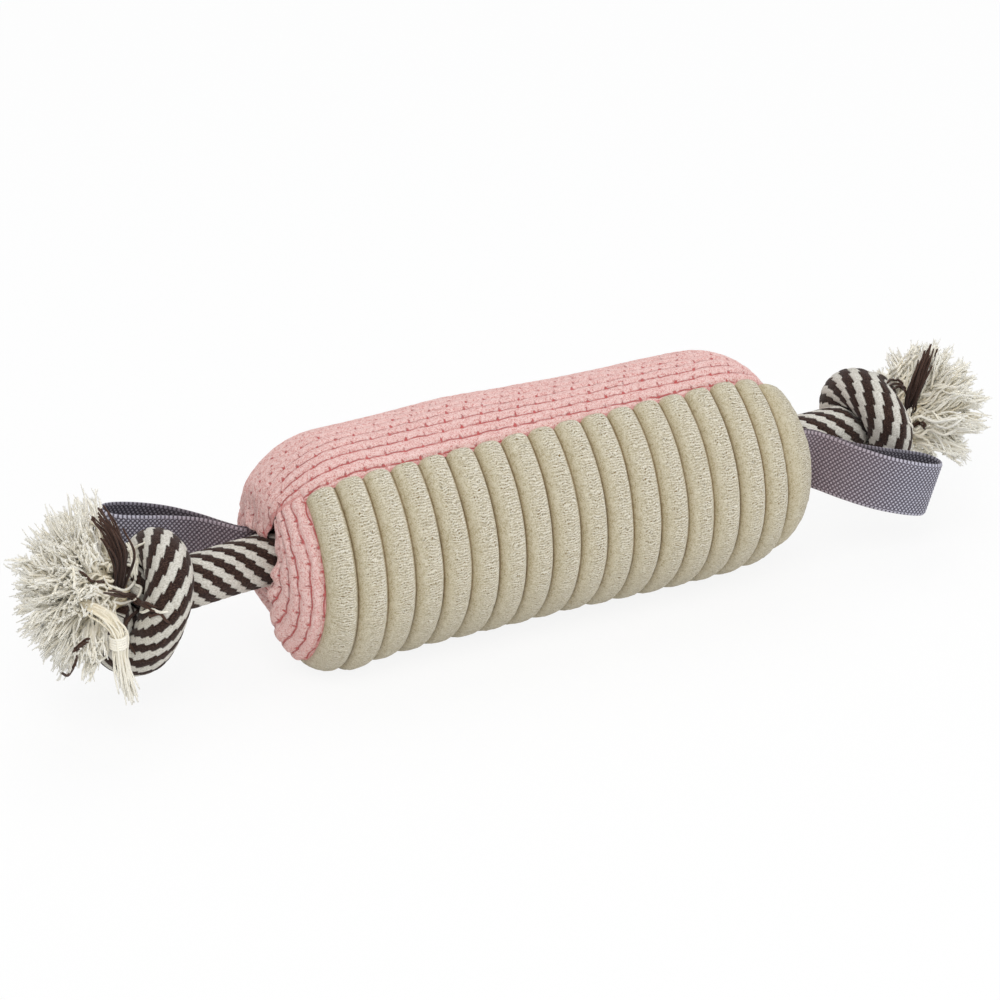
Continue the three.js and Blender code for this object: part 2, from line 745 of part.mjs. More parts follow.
const inside = plainBody(-CLOTH_THICKNESS);
const bore = ropeBore();
const tabHoles = Object.values(ENDS).flatMap((end) => {
  const { matrix } = loopFrame(end);
  const root = upright(LOOP_ROOT_RADIUS + CLEARANCE, WEBBING_WIDTH + 2 * CLEARANCE);
  return [webbingTab(end, CLEARANCE).applyMatrix4(matrix), root.applyMatrix4(matrix)];
});
const ground = block(
  endX(-1) - OVERRUN, endX(1) + OVERRUN,
  -COVER_REACH, COVER_REACH,
  -AXIS_HEIGHT - COVER_REACH, -AXIS_HEIGHT,
);

const drawnIn = turned([
  { x: PANEL_LEFT - OVERRUN, r: 0 },
  { x: PANEL_LEFT - OVERRUN, r: DIMPLE_RADIUS },
  { x: PANEL_RIGHT + OVERRUN, r: DIMPLE_RADIUS },
  { x: PANEL_RIGHT + OVERRUN, r: 0 },
], ROPE_AROUND);
const creamPanel = cut(common(ribbedBody(), panelSector(0)), inside, ground, drawnIn);
addMesh(toy, 'cream_front_panel', creamPanel, 'cream');

const pinkPanel = cut(
  walesAlong(), inside, panelSector(CLEARANCE),
  belowEndSeam(-1, CLEARANCE), belowEndSeam(1, CLEARANCE), bore, ...tabHoles,
);
addMesh(toy, 'pink_top_panel', pinkPanel, 'pink');

const endFlaps = cut(walesRoundEnd(), inside, bore, ...tabHoles);
addMesh(toy, 'left_end_flap', common(endFlaps, belowEndSeam(-1, 0)), 'pink');
addMesh(toy, 'right_end_flap', common(endFlaps, belowEndSeam(1, 0)), 'pink');

// Squeaker, beside the rope in the front half of the stuffing

const squeakerNear = -(ROPE_RADIUS + 2 * CLEARANCE);
const squeakerFar = squeakerNear - SQUEAKER_DEPTH;

// A solid turned about the Y axis at the squeaker's place, from pairs of y and radius
function turnedAtSqueaker(profile) {
  const geometry = turned(profile.map(([y, r]) => ({ x: y, r })), SQUEAKER_AROUND);
  geometry.rotateZ(Math.PI / 2);
  return geometry.translate(SQUEAKER_X, 0, 0);
}

const reedInner = squeakerFar + REED_DEPTH;
const reedHole = REED_RADIUS + CLEARANCE;
addMesh(toy, 'squeaker_bulb', turnedAtSqueaker([
  [reedInner + CLEARANCE, 0],
  [reedInner + CLEARANCE, reedHole],
  [squeakerFar + REED_RIM_DEPTH + CLEARANCE, reedHole],
  [squeakerFar + REED_RIM_DEPTH + CLEARANCE, SQUEAKER_RADIUS - SQUEAKER_EDGE],
  [squeakerFar + SQUEAKER_EDGE, SQUEAKER_RADIUS],
  [squeakerNear - SQUEAKER_EDGE, SQUEAKER_RADIUS],
  [squeakerNear, SQUEAKER_RADIUS - SQUEAKER_EDGE],
  [squeakerNear, 0],
]), 'squeaker');
addMesh(toy, 'squeaker_reed', turnedAtSqueaker([
  [squeakerFar, 0],
  [squeakerFar, REED_RIM_RADIUS],
  [squeakerFar + REED_RIM_DEPTH, REED_RIM_RADIUS],
  [squeakerFar + REED_RIM_DEPTH, REED_RADIUS],
  [reedInner, REED_RADIUS],
  [reedInner, 0],
]), 'squeaker');

// Stuffing, in two halves pressed round the rope and the squeaker

const squeakerPocket = turnedAtSqueaker([
  [squeakerFar - CLEARANCE, 0],
  [squeakerFar - CLEARANCE, SQUEAKER_RADIUS + CLEARANCE],
  [0, SQUEAKER_RADIUS + CLEARANCE],
  [0, 0],
]);
const packed = cut(plainBody(-CLOTH_THICKNESS - CLEARANCE), bore, squeakerPocket, ...tabHoles);
for (const [name, side] of [['front_stuffing', -1], ['back_stuffing', 1]]) {
  const from = side < 0 ? -COVER_REACH : CLEARANCE / 2;
  const to = side < 0 ? -CLEARANCE / 2 : COVER_REACH;
  const half = block(endX(-1), endX(1), from, to, -COVER_REACH, COVER_REACH);
  addMesh(toy, name, common(packed, half), 'filling');
}

addMesh(toy, 'rope_core', ropeCore(), 'rope');

// The two ends

for (const [name, end] of Object.entries(ENDS)) {
  const loop = loopFrame(end);
  toy.add(loop);
  const groove = upright(LOOP_ROOT_RADIUS + CLEARANCE, WEBBING_WIDTH + OVERRUN);
  addMesh(loop, `${name}_webbing_tab`, cut(webbingTab(end, 0), groove), 'webbing');
  addMesh(loop, `${name}_webbing_loop`, webbingLoop(end), 'webbing');

  const yaw = new THREE.Group();
  yaw.position.x = bendX(end.side);
  yaw.rotation.z = radians(REST_YAW_DEG);
  toy.add(yaw);
  const rope = new THREE.Group();
  rope.rotation.y = radians(end.ropeTiltDeg);
  yaw.add(rope);
  const ball = new THREE.SphereGeometry(ROPE_RADIUS, ROPE_AROUND, BEND_RINGS);
  addMesh(rope, `${name}_rope_bend`, ball, 'rope');
  addMesh(rope, `${name}_rope_neck`, ropeNeck(end), 'rope');
  addMesh(rope, `${name}_knot`, knotTube(end, 0), 'rope');
  const gap = leastGap(knotRoute(end), KNOT_ROPE_RADIUS);
  console.log(`${name} knot: least gap to itself ${gap.toFixed(2)} mm`);

  const frame = tasselFrame(end);
  rope.add(frame);
  const knotInFrame = knotTube(end, CLEARANCE).applyMatrix4(frame.matrix.clone().invert());
  const cutters = [darkBunch(end, CLEARANCE), knotInFrame];
  if (name === 'left') {
    cutters.push(hangingBunch(end, CLEARANCE).applyMatrix4(frame.matrix.clone().invert()));
    addMesh(rope, `${name}_hanging_strands`, hangingBunch(end, 0), 'tassel');
    addMesh(rope, `${name}_strand_tie`, strandTie(end), 'tassel');
  }
  addMesh(frame, `${name}_tassel`, cut(tasselMop(end), ...cutters), 'tassel');
  addMesh(frame, `${name}_dark_strands`, cut(darkBunch(end, 0), knotInFrame), 'darkYarn');
}

export default toy;
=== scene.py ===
"""Fabric dog toy: a stuffed bolster of ribbed plush and tufted corduroy on a braided rope, with a
knot, a frayed tassel and a webbing loop at each end.

Sizes are in millimetres and become metres when a mesh is made. X runs along the toy, -Y is its
ribbed front and Z is up from the ground. An angle round the body is zero at the front and turns
over the top.
"""

import math

import bpy
import numpy as np
from mathutils import Matrix, Vector
from mathutils.bvhtree import BVHTree


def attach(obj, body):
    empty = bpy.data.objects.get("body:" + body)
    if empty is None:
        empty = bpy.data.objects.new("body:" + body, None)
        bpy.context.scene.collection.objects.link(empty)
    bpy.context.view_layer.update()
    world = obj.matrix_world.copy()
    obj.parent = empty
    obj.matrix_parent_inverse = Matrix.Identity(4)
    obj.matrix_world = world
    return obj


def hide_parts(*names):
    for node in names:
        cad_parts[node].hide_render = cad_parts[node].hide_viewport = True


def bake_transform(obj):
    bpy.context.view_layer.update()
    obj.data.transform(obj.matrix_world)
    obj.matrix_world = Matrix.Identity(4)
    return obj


MM = 0.001
NOISE_CELLS = 48

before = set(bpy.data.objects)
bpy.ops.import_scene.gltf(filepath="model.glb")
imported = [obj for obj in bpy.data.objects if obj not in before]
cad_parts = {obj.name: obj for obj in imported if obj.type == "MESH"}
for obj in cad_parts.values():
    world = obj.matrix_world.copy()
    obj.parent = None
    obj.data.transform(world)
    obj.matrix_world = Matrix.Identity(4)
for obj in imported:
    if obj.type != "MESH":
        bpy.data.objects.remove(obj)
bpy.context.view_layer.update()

# Body, as in the frame
AXIS_HEIGHT = 49.5
BODY_RADIUS = 47.6
END_POWER = 2.8
RIB_COUNT = 18
RIB_PITCH = 12.6
PANEL_LEFT = -119.7
PANEL_RIGHT = PANEL_LEFT + RIB_COUNT * RIB_PITCH
LEFT_END_DEPTH = 45
RIGHT_END_DEPTH = 54
LEFT_END_BEYOND_PANEL = 14
RIGHT_END_BEYOND_PANEL = 11
SHOULDER_LEFT = PANEL_LEFT - LEFT_END_BEYOND_PANEL + LEFT_END_DEPTH
SHOULDER_RIGHT = PANEL_RIGHT + RIGHT_END_BEYOND_PANEL - RIGHT_END_DEPTH
DIMPLE_RADIUS = 32
DIMPLE_DEPTH = 14
TOP_SEAM_DEG = (60, 71)
BOTTOM_SEAM_DEG = -115
END_SEAM_ABOVE_ROPE = 10.5
END_SEAM_AT_BACK = 8

# Cover surfaces
PLUSH_GRID = 0.62
CORDUROY_GRID = 0.68
RIB_HEIGHT = 2.5
RIB_VALLEY = 1.1
LAST_RIB_TURN = 7.5
PILE_ROW = 1.15
PILE_COLUMN = 1.4
RIB_SWAY = 0.45
SCALLOP = 2.4
EDGE_ROUND = 3.2
TUCK = 3.0
WALE_PITCH = 5.5
WALE_HEIGHT = 1.1
TUFT_LENGTH = 8.4
TUFT_SWELL = 0.5
WALE_DRAWING = 0.45
WALE_SHIFT = 0.618
TUFT_SHIFT = 0.57
SWELL_SHIFT = 0.755
COVER_PROUD = 0.5
SEAM_SUNK = 0.8
UNDERLAP = 1.6
RIGHT_END_SUNK = 3.6
GATHER_COUNT = 9
GATHER_HEIGHT = 0.9
LIP_HEIGHT = 4.5
FOLD_DEPTH = 3.0
ROOF_SWELL = 2.2
ROOF_HANG = 6
STUFFING_DEPTH = 10

# Where the body is fuller or sunk: height, start and end of its rise along the toy, and the angle's middle
# and width in degrees; then the same with the middle and width along the toy
END_SWELLS = [(-6, 78, 114, 105, 48), (-2, -100, -124, 105, 48), (-5, -118, -130, -85, 40)]
SIDE_SWELLS = [(4.6, -110, 20, -58, 34), (1.8, -38, 26, 112, 40)]

# Rope
ROPE_RADIUS = 10.6
BRAID_RELIEF = 0.5
BRAID_BANDS = 12
BRAID_TURN = 58
BRAID_BLOCK = 5.2
BRAID_STEP = 0.3
BEND_BEYOND_END = 2
REST_YAW_DEG = 9
ROPE_GRID = 0.45

# Knot, on the frame's route in pitches of the knotted rope: outwards, across and up
KNOT_PITCH = 15.1
KNOT_RADIUS = 9.4
KNOT_ROUTE_SHARES = [
    (-1.2, 0, 0), (-0.85, 0, 0), (-0.5, 0.02, 0.03), (-0.15, 0.1, 0.16), (0.18, 0.4, 0.22),
    (0.44, 0.82, -0.02), (0.6, 1.09, -0.5), (0.64, 1.04, -1.08), (0.63, 0.62, -1.58),
    (0.56, 0.05, -1.77), (0.43, -0.45, -1.6), (0.22, -0.83, -1.14), (0.05, -0.93, -0.55),
    (-0.07, -0.94, 0.12), (-0.24, -0.79, 0.68), (-0.44, -0.36, 1.04), (-0.59, 0.2, 1.08),
    (-0.64, 0.72, 0.82), (-0.63, 1.01, 0.33), (-0.56, 1.01, -0.22), (-0.38, 0.75, -0.68),
    (-0.06, 0.34, -0.87), (0.42, 0.1, -0.75), (0.86, 0.03, -0.44), (1.16, 0, 0.02),
]

# Webbing, on the frame's route in shares of the loop's length and bow
WEBBING_WIDTH = 25
WEBBING_THICKNESS = 1.8
WEBBING_GRID = 0.4
FLOAT_LENGTH = 2.0
FLOAT_ROW = 1.1
FLOAT_SHIFT = 0.42
FLOAT_HALF = 1.8
FLOAT_EDGE = (1.1, 0.55)
SELVEDGE = 1.2
SELVEDGE_DOT = 1.9
DOT_EDGE = (0.75, 0.45)
LOOP_LENGTH = 58
LOOP_BOW = 23.4
LOOP_PIVOT_BEYOND_END = 1.5
LOOP_BESIDE_AXIS = 16
TAB_LENGTH = 22
LOOP_ROUTE_SHARES = [
    (0.13, 0.14), (0.28, 0.355), (0.5, 0.43), (0.73, 0.41), (0.905, 0.43), (0.978, 0.53), (1, 0.684),
    (0.978, 0.838), (0.905, 0.95), (0.7, 0.99), (0.467, 0.86), (0.26, 0.54), (0.13, 0.24),
]

# The two ends
ENDS = {
    "left": {
        "side": -1, "tilt_deg": 0, "knot_distance": 51, "knot_turn_deg": 20,
        "loop_below": 4, "droop_deg": 14,
        "tassel_radius": 36, "tassel_length": 36, "tassel_lean_deg": 20, "tassel_rise": 8,
        "clear_turn_deg": 150, "clear_lean_deg": 44, "lock_count": 70, "strand_count": 1150,
    },
    "right": {
        "side": 1, "tilt_deg": 4, "knot_distance": 49, "knot_turn_deg": 40,
        "loop_below": 0, "droop_deg": 19,
        "tassel_radius": 31, "tassel_length": 37, "tassel_lean_deg": 23, "tassel_rise": -2,
        "clear_turn_deg": 75, "clear_lean_deg": 56, "lock_count": 56, "strand_count": 820,
    },
}
TASSEL_OVER_TAIL = 2.5
TASSEL_OPEN_DEG = 80
LOCK_SPREAD = 1.5
YARN_RADII = (0.5, 0.78)
YARN_WAVE_HEIGHTS = (0.8, 1.9)
YARN_WAVE_RADIANS = (11, 20)
YARN_STEPS = 18
YARN_ROOT_SPREAD = 7
YARN_ROOT_DEPTH = 4
FRAY_RADIUS = 0.24
FRAY_STEPS = 5
DARK_YARN_RADIUS = 0.6
THREAD_RADIUS = 0.62
THREAD_STEPS = 40
THREAD_LIFT = 0.7
THREAD_SMOOTHING = 13
THREAD_DROP = 90

# Dark strands up the tassel's inner face, in shares of its length and radius
DARK_BUNCH_ROUTE_SHARES = [
    (0, -0.1, -0.12), (0.06, -0.2, 0.2), (0.16, -0.26, 0.48), (0.34, -0.26, 0.74), (0.55, -0.22, 0.95),
]

# Hanging strands: outwards and across in radii of the bunch, and down in shares of its length
HANGING_RADIUS = 3.6
HANGING_LENGTH = 40
HANGING_PLACE = (27, 2.6, 13)
HANGING_YARN_RADIUS = 0.55
TIE_RADIUS = 3.3
TIE_PITCH = 1.1
TIE_TURNS = 5.2
TIE_BELOW_TOP = 15
TIE_STEPS = 120
HANGING_ROUTE_SHARES = [
    (3, 2, -0.14), (1, 0.5, 0), (0, 0, 0.2), (0, 0, 0.45), (-0.5, 0, 0.75), (-1, 0, 1),
]

# Loose threads that lie over the knots' front, in the picture's plane: right and up from the knot's middle
LOOSE_THREADS = {
    ("left", "cream"): [
        [(-14, 33), (-12.5, 25), (-9, 19.5), (-3.5, 19.5), (1.5, 22.5)],
        [(-10, 11.5), (-6.5, 13.5), (-3.5, 11.5), (-2, 8), (-4, 4), (-8.5, 3.5), (-12, 6.5), (-13, 8.5)],
        [(-10.5, -1.5), (-5, -2), (-1, 0.5), (0, 3.5), (-2.5, 6)], [(0, -6), (5, -5), (12, -6)],
        [(-15.5, -1.5), (-17, -6), (-16.5, -13.5), (-15.5, -20.5), (-17, -27)],
        [(-7.5, 22), (-4.5, 16.5), (-3.5, 8)], [(-6.5, 22), (-3.5, 16.5), (-2.5, 8)],
        [(-5.5, 22), (-2.5, 16.5), (-1.5, 8.5)],
        [(-16.5, -3.5), (-16, 0.5), (-13.5, 1), (-11.5, -3.5), (-12.5, -7.5)],
        [(-31, 1.5), (-28.5, 8), (-24.5, 11.5)], [(-23, 13), (-22, 6.5), (-19.5, 0)],
    ],
    ("left", "dark"): [
        [(-11, 3), (-5, 1.5), (1.5, -2), (7.5, -3.5)], [(-12, 2), (-6, 0.5), (0.5, -3.5), (4.5, -4)],
        [(-10, 1.5), (-4, 0), (2, -3), (9.5, -6.5)], [(-1, -4.5), (-5, -9.5), (-7.5, -15.5), (-2.5, -23)],
        [(-2, -5), (-6, -10.5), (-8.5, -16), (-5.5, -20)], [(-21, 11.5), (-18, 8), (-12.5, 6)],
        [(-6, 30.5), (-2.5, 32.5), (4, 32), (7, 29.5)],
        [(-22, -22.5), (-24.5, -27.5), (-28.5, -31), (-32.5, -31)],
        [(-24.5, -21.5), (-21, -19), (-17.5, -17)], [(-23.5, -20), (-20.5, -17.5), (-17, -15.5)],
        [(4, -7), (9, -7), (12.5, -10)],
    ],
    ("right", "cream"): [
        [(8.5, 21.5), (12, 25.5), (17.5, 32), (19, 34)], [(9, 19.5), (13, 24.5), (18, 30), (20.5, 33)],
        [(10, 18.5), (14, 23), (18.5, 28.5), (21, 31)],
        [(16, 18.5), (18.5, 14), (16, 7), (14.5, 2), (16, -2.5)],
        [(17, 18.5), (19.5, 14), (17, 7), (15.5, 2), (17, -2)], [(13, -0.5), (17.5, -5), (24.5, -1.5)],
    ],
    ("right", "dark"): [
        [(5.5, 17), (10, 19.5), (14, 17)], [(6.5, 15.5), (10.5, 17.5), (14.5, 15)],
        [(8, 14), (11.5, 16), (15, 12.5)], [(16, -2.5), (20, -0.5), (23.5, -2.5)],
        [(16, -3.5), (20, -1.5), (23, -3.5)],
    ],
}

# Camera, fitted to the rib channels: the view's turn and height, and the photograph's scale
VIEW_YAW_DEG = 25.9
VIEW_ELEVATION_DEG = 27.4
VIEW_DISTANCE = 1541
VIEW_AIM = (-3.55, 0, 49.5)
PICTURE_SIZE = 1000
AIM_PIXEL = (537.8, 498.3)
PIXELS_PER_MM = 2.33
SENSOR_WIDTH = 36

# Light: each lamp's place and size in metres, power and colour
LAMPS = {
    "key_light": ((-0.7, -1.1, 1.7), 1.3, 15, (1, 0.985, 0.96)),
    "fill_light": ((1.5, -1.2, 0.9), 1.6, 10, (0.96, 0.98, 1)),
    "top_light": ((0.1, 0.8, 1.8), 1.6, 9, (1, 1, 1)),
}
SKY_COLOUR = (0.95, 0.97, 1, 1)
SKY_STRENGTH = 0.52
FLOOR_SIZE = 12
FLOOR_COLOUR = (0.95, 0.95, 0.94, 1)
FLOOR_WHITE_SHARE = 0.88


# Numbers and paths

def smooth_step(low, high, value):
    share = np.clip((value - low) / (high - low), 0, 1)
    return share * share * (3 - 2 * share)


def bell(value, middle, width):
    return np.exp(-((value - middle) / width) ** 2)


def noise(points, size, seed):
    """Smooth random heights from -1 to 1 at points, changing over a size, or a size for each axis."""
    table = np.random.default_rng(seed).uniform(-1, 1, (NOISE_CELLS,) * 3)
    scaled = np.asarray(points, float) / np.asarray(size, float)
    cell = np.floor(scaled).astype(int)
    part = scaled - cell
    part = part * part * (3 - 2 * part)
    total = np.zeros(scaled.shape[:-1])
    for corner in np.ndindex(2, 2, 2):
        weight = np.prod(np.where(corner, part, 1 - part), axis=-1)
        at = (cell + corner) % NOISE_CELLS
        total += weight * table[at[..., 0], at[..., 1], at[..., 2]]
    return total


def run_along(line):
    """How far along a line each of its points is."""
    return np.concatenate([[0], np.cumsum(np.linalg.norm(np.diff(line, axis=0), axis=1))])


def points_along(places, run, line):
    """Points at places along a line whose own points are at the values of run."""
    return np.stack([np.interp(places, run, column) for column in line.T], axis=-1)


def smooth_path(points, spacing):
    """Evenly spaced points along a centripetal Catmull-Rom curve through the points."""
    points = np.asarray(points, float)
    points = np.concatenate([[2 * points[0] - points[1]], points, [2 * points[-1] - points[-2]]])
    fine = []
    share = np.linspace(0, 1, 40, endpoint=False)[:, None]
    for a, b, c, d in zip(points, points[1:], points[2:], points[3:]):
        steps = [max(np.linalg.norm(q - p), 1e-6) ** 0.5 for p, q in ((a, b), (b, c), (c, d))]
        knots = np.cumsum([0] + steps)
        t = knots[1] + share * (knots[2] - knots[1])
        ab = ((knots[1] - t) * a + t * b) / knots[1]
        bc = ((knots[2] - t) * b + (t - knots[1]) * c) / (knots[2] - knots[1])
        cd = ((knots[3] - t) * c + (t - knots[2]) * d) / (knots[3] - knots[2])
        abc = ((knots[2] - t) * ab + t * bc) / knots[2]
        bcd = ((knots[3] - t) * bc + (t - knots[1]) * cd) / (knots[3] - knots[1])
        fine.append(((knots[2] - t) * abc + (t - knots[1]) * bcd) / (knots[2] - knots[1]))
    fine = np.concatenate(fine + [points[-2][None]])
    run = run_along(fine)
    return points_along(np.linspace(0, run[-1], max(int(round(run[-1] / spacing)), 2) + 1), run, fine)


def path_frames(path):
    """Two directions across a path at each of its points, which turn as little as they can."""
    tangents = np.gradient(path, axis=0)
    tangents /= np.linalg.norm(tangents, axis=1)[:, None]
    normal = np.cross(tangents[0], (0, 0, 1))
    normals = []
    for tangent in tangents:
        normal = normal - tangent * (normal @ tangent)
        normal = normal / np.linalg.norm(normal)
        normals.append(normal)
    normals = np.array(normals)
    return tangents, normals, np.cross(tangents, normals)


def turned_about(points, axis, degrees):
    matrix = np.array(Matrix.Rotation(math.radians(degrees), 3, axis))
    return np.asarray(points, float) @ matrix.T


# Meshes

def make_mesh(name, points, faces, material, **values):
    """A smooth mesh from points in millimetres and an array of faces with equally many corners, and
    a value at each point for each name given."""
    mesh = bpy.data.meshes.new(name)
    corners = faces.shape[1]
    mesh.vertices.add(len(points))
    mesh.vertices.foreach_set("co", (points * MM).astype(np.float32).ravel())
    mesh.loops.add(faces.size)
    mesh.loops.foreach_set("vertex_index", faces.astype(np.int32).ravel())
    mesh.polygons.add(len(faces))
    mesh.polygons.foreach_set("loop_start", np.arange(0, faces.size, corners, dtype=np.int32))
    mesh.polygons.foreach_set("use_smooth", np.ones(len(faces), bool))
    mesh.update(calc_edges=True)
    for value_name, value in values.items():
        attribute = mesh.attributes.new(value_name, "FLOAT", "POINT")
        attribute.data.foreach_set("value", np.asarray(value, np.float32).ravel())
    mesh.materials.append(material)
    made = bpy.data.objects.new(name, mesh)
    bpy.context.scene.collection.objects.link(made)
    return made


def grid_faces(rows, columns, closed=False):
    """Four-cornered faces of a grid of points. A closed grid joins its last column to its first."""
    gaps = columns if closed else columns - 1
    row, column = np.meshgrid(np.arange(rows - 1), np.arange(gaps), indexing="ij")
    after = (column + 1) % columns
    low, high = row * columns, (row + 1) * columns
    return np.stack([low + column, low + after, high + after, high + column], axis=-1).reshape(-1, 4)


def finish_piece(made, slot, body, *nodes, fill=None):
    if nodes:
        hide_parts(*nodes)
    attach(made, body)
    return made


# Materials

def linear(red, green, blue):
    """A colour given as a screen shows it, from 0 to 255, as the shaders take it."""
    def channel(value):
        value = value / 255
        return value / 12.92 if value <= 0.04045 else ((value + 0.055) / 1.055) ** 2.4
    return (channel(red), channel(green), channel(blue), 1)


class Nodes:
    """A material and short calls for the nodes that it is made of."""

    def __init__(self, name, roughness=0.95, sheen=0.0, sheen_tint=None, specular=0.2):
        self.material = bpy.data.materials.new(name)
        self.material.use_nodes = True
        self.tree = self.material.node_tree
        self.shader = self.tree.nodes["Principled BSDF"]
        self.shader.inputs["Roughness"].default_value = roughness
        self.shader.inputs["Specular IOR Level"].default_value = specular
        self.shader.inputs["Sheen Weight"].default_value = sheen
        self.shader.inputs["Sheen Roughness"].default_value = 0.6
        if sheen_tint:
            self.shader.inputs["Sheen Tint"].default_value = sheen_tint
        self.place = self.tree.nodes.new("ShaderNodeTexCoord").outputs["Object"]

    def add(self, kind, **settings):
        node = self.tree.nodes.new(kind)
        for key, value in settings.items():
            setattr(node, key, value)
        return node

    def put(self, socket, value):
        if isinstance(value, (int, float, tuple)):
            socket.default_value = value
        else:
            self.tree.links.new(value, socket)

    def value(self, name):
        return self.add("ShaderNodeAttribute", attribute_name=name).outputs["Fac"]

    def grain(self, size, detail=2.0, stretch=(1, 1, 1), roughness=0.5, distortion=0.0):
        """Noise from 0 to 1 whose grains are a size in millimetres, longer where stretch is more."""
        scale = self.add("ShaderNodeMapping")
        scale.inputs["Scale"].default_value = [1 / (size * MM * part) for part in stretch]
        self.put(scale.inputs["Vector"], self.place)
        texture = self.add("ShaderNodeTexNoise")
        texture.inputs["Scale"].default_value = 1
        texture.inputs["Detail"].default_value = detail
        texture.inputs["Roughness"].default_value = roughness
        texture.inputs["Distortion"].default_value = distortion
        self.put(texture.inputs["Vector"], scale.outputs["Vector"])
        return texture.outputs["Fac"]

    def math(self, operation, a, b=0.0):
        node = self.add("ShaderNodeMath", operation=operation)
        self.put(node.inputs[0], a)
        self.put(node.inputs[1], b)
        return node.outputs[0]

    def sum(self, *terms):
        """The sum of values, each times its weight."""
        total = 0.0
        for value, weight in terms:
            total = self.math("ADD", self.math("MULTIPLY", value, weight), total)
        return total

    def times(self, first, *others):
        for other in others:
            first = self.math("MULTIPLY", first, other)
        return first

    def part(self, value):
        """How far a value is past a whole number."""
        return self.math("FRACT", value)

    def from_middle(self, share, half=1.0):
        """How far a share is from a half, with a range from 0 to half."""
        return self.math("ABSOLUTE", self.sum((share, 2 * half), (1.0, -half)))

    def step(self, value, low, high):
        """Rises smoothly from 0 at low to 1 at high."""
        node = self.add("ShaderNodeMapRange", interpolation_type="SMOOTHSTEP")
        node.inputs["From Min"].default_value = low
        node.inputs["From Max"].default_value = high
        self.put(node.inputs["Value"], value)
        return node.outputs["Result"]

    def ramp(self, value, stops):
        """Colours between stops of place and colour."""
        node = self.add("ShaderNodeValToRGB")
        while len(node.color_ramp.elements) < len(stops):
            node.color_ramp.elements.new(0.5)
        for element, (place, colour) in zip(node.color_ramp.elements, stops):
            element.position = place
            element.color = linear(*colour)
        self.put(node.inputs["Fac"], value)
        return node.outputs["Color"]

    def mix(self, share, first, second, blend="MIX"):
        """The second colour over the first, by a share."""
        node = self.add("ShaderNodeMix", data_type="RGBA", blend_type=blend)
        colours = [socket for socket in node.inputs if socket.type == "RGBA"]
        self.put(node.inputs["Factor"], share)
        self.put(colours[0], first)
        self.put(colours[1], second)
        return [socket for socket in node.outputs if socket.type == "RGBA"][0]

    def bump(self, height, distance, strength=1.0):
        node = self.add("ShaderNodeBump")
        node.inputs["Distance"].default_value = distance * MM
        node.inputs["Strength"].default_value = strength
        self.put(node.inputs["Height"], height)
        self.put(self.shader.inputs["Normal"], node.outputs["Normal"])

    def colour(self, colour):
        self.put(self.shader.inputs["Base Color"], colour)


def plush_material():
    """Cut pile in fine rows across the ribs: its tips are pale, and gaps between the rows show yellow-brown
    specks of painted shade along each crest. The flank on the left of a rib is brushed smooth. Each rib's
    colour carries painted shade in its valley and on its left flank, painted light on its crest, and painted
    shade that makes it darker and greyer lower down."""
    made = Nodes("cream_plush", sheen=0.1, sheen_tint=linear(245, 240, 225), specular=0.1)
    place, along = made.part(made.value("rib")), made.value("along")
    fine, clump = made.grain(0.5, detail=2), made.grain(1.8, detail=3, distortion=0.5)
    row = made.part(made.sum((along, 1 / PILE_ROW), (made.grain(3, detail=1), 2.5)))
    row = made.step(made.from_middle(row), 0.2, 1.0)
    column = made.part(made.sum((place, RIB_PITCH / PILE_COLUMN), (made.grain(1.7, detail=1), 3.0)))
    column = made.step(made.from_middle(column), 0.3, 1.0)
    high = made.step(along, -46, 0)
    crest = made.times(made.step(place, 0.12, 0.42), made.step(place, 1.0, 0.7))
    # Painted shade deep in the pile where it opens on the crests, with less of it low down
    opened = made.times(crest, made.sum((made.step(clump, 0.4, 0.6), 0.7), (1.0, 0.3)))
    opened = made.times(opened, made.sum((high, 0.5), (1.0, 0.5)))
    gap = made.times(row, column, made.step(fine, 0.38, 0.56))
    dark = made.times(opened, made.step(gap, 0.03, 0.36))
    line = made.times(row, made.step(place, 0.1, 0.6), made.step(fine, 0.3, 0.55))
    # Painted shade and light across each rib: darkest in the valleys, darker on the left flank, lightest on
    # the crest
    base = made.ramp(place, [
        (0.0, (132, 110, 80)), (0.05, (198, 186, 158)), (0.25, (219, 211, 190)), (0.5, (234, 228, 213)),
        (0.9, (243, 238, 226)), (0.97, (198, 184, 156)), (1.0, (132, 110, 80)),
    ])
    # Painted shade: the colour is darker and greyer lower down the body
    base = made.mix(made.sum((1.0, 0.5), (high, -0.5)), base, linear(214, 208, 196))
    pile = made.ramp(made.sum((clump, 0.35), (fine, 0.65)), [
        (0.37, (204, 196, 178)), (0.5, (242, 240, 233)), (0.62, (255, 255, 255)),
    ])
    colour = made.mix(1.0, base, pile, "MULTIPLY")
    # Painted shade in the lines between the pile's rows, then in the yellow-brown specks
    colour = made.mix(made.times(line, 0.5), colour, linear(150, 138, 108))
    made.colour(made.mix(made.times(dark, 0.9), colour, linear(132, 106, 48)))
    made.bump(made.sum((clump, 0.5), (fine, 0.5), (dark, -0.4), (line, -0.3)), 0.6, 0.9)
    return made.material


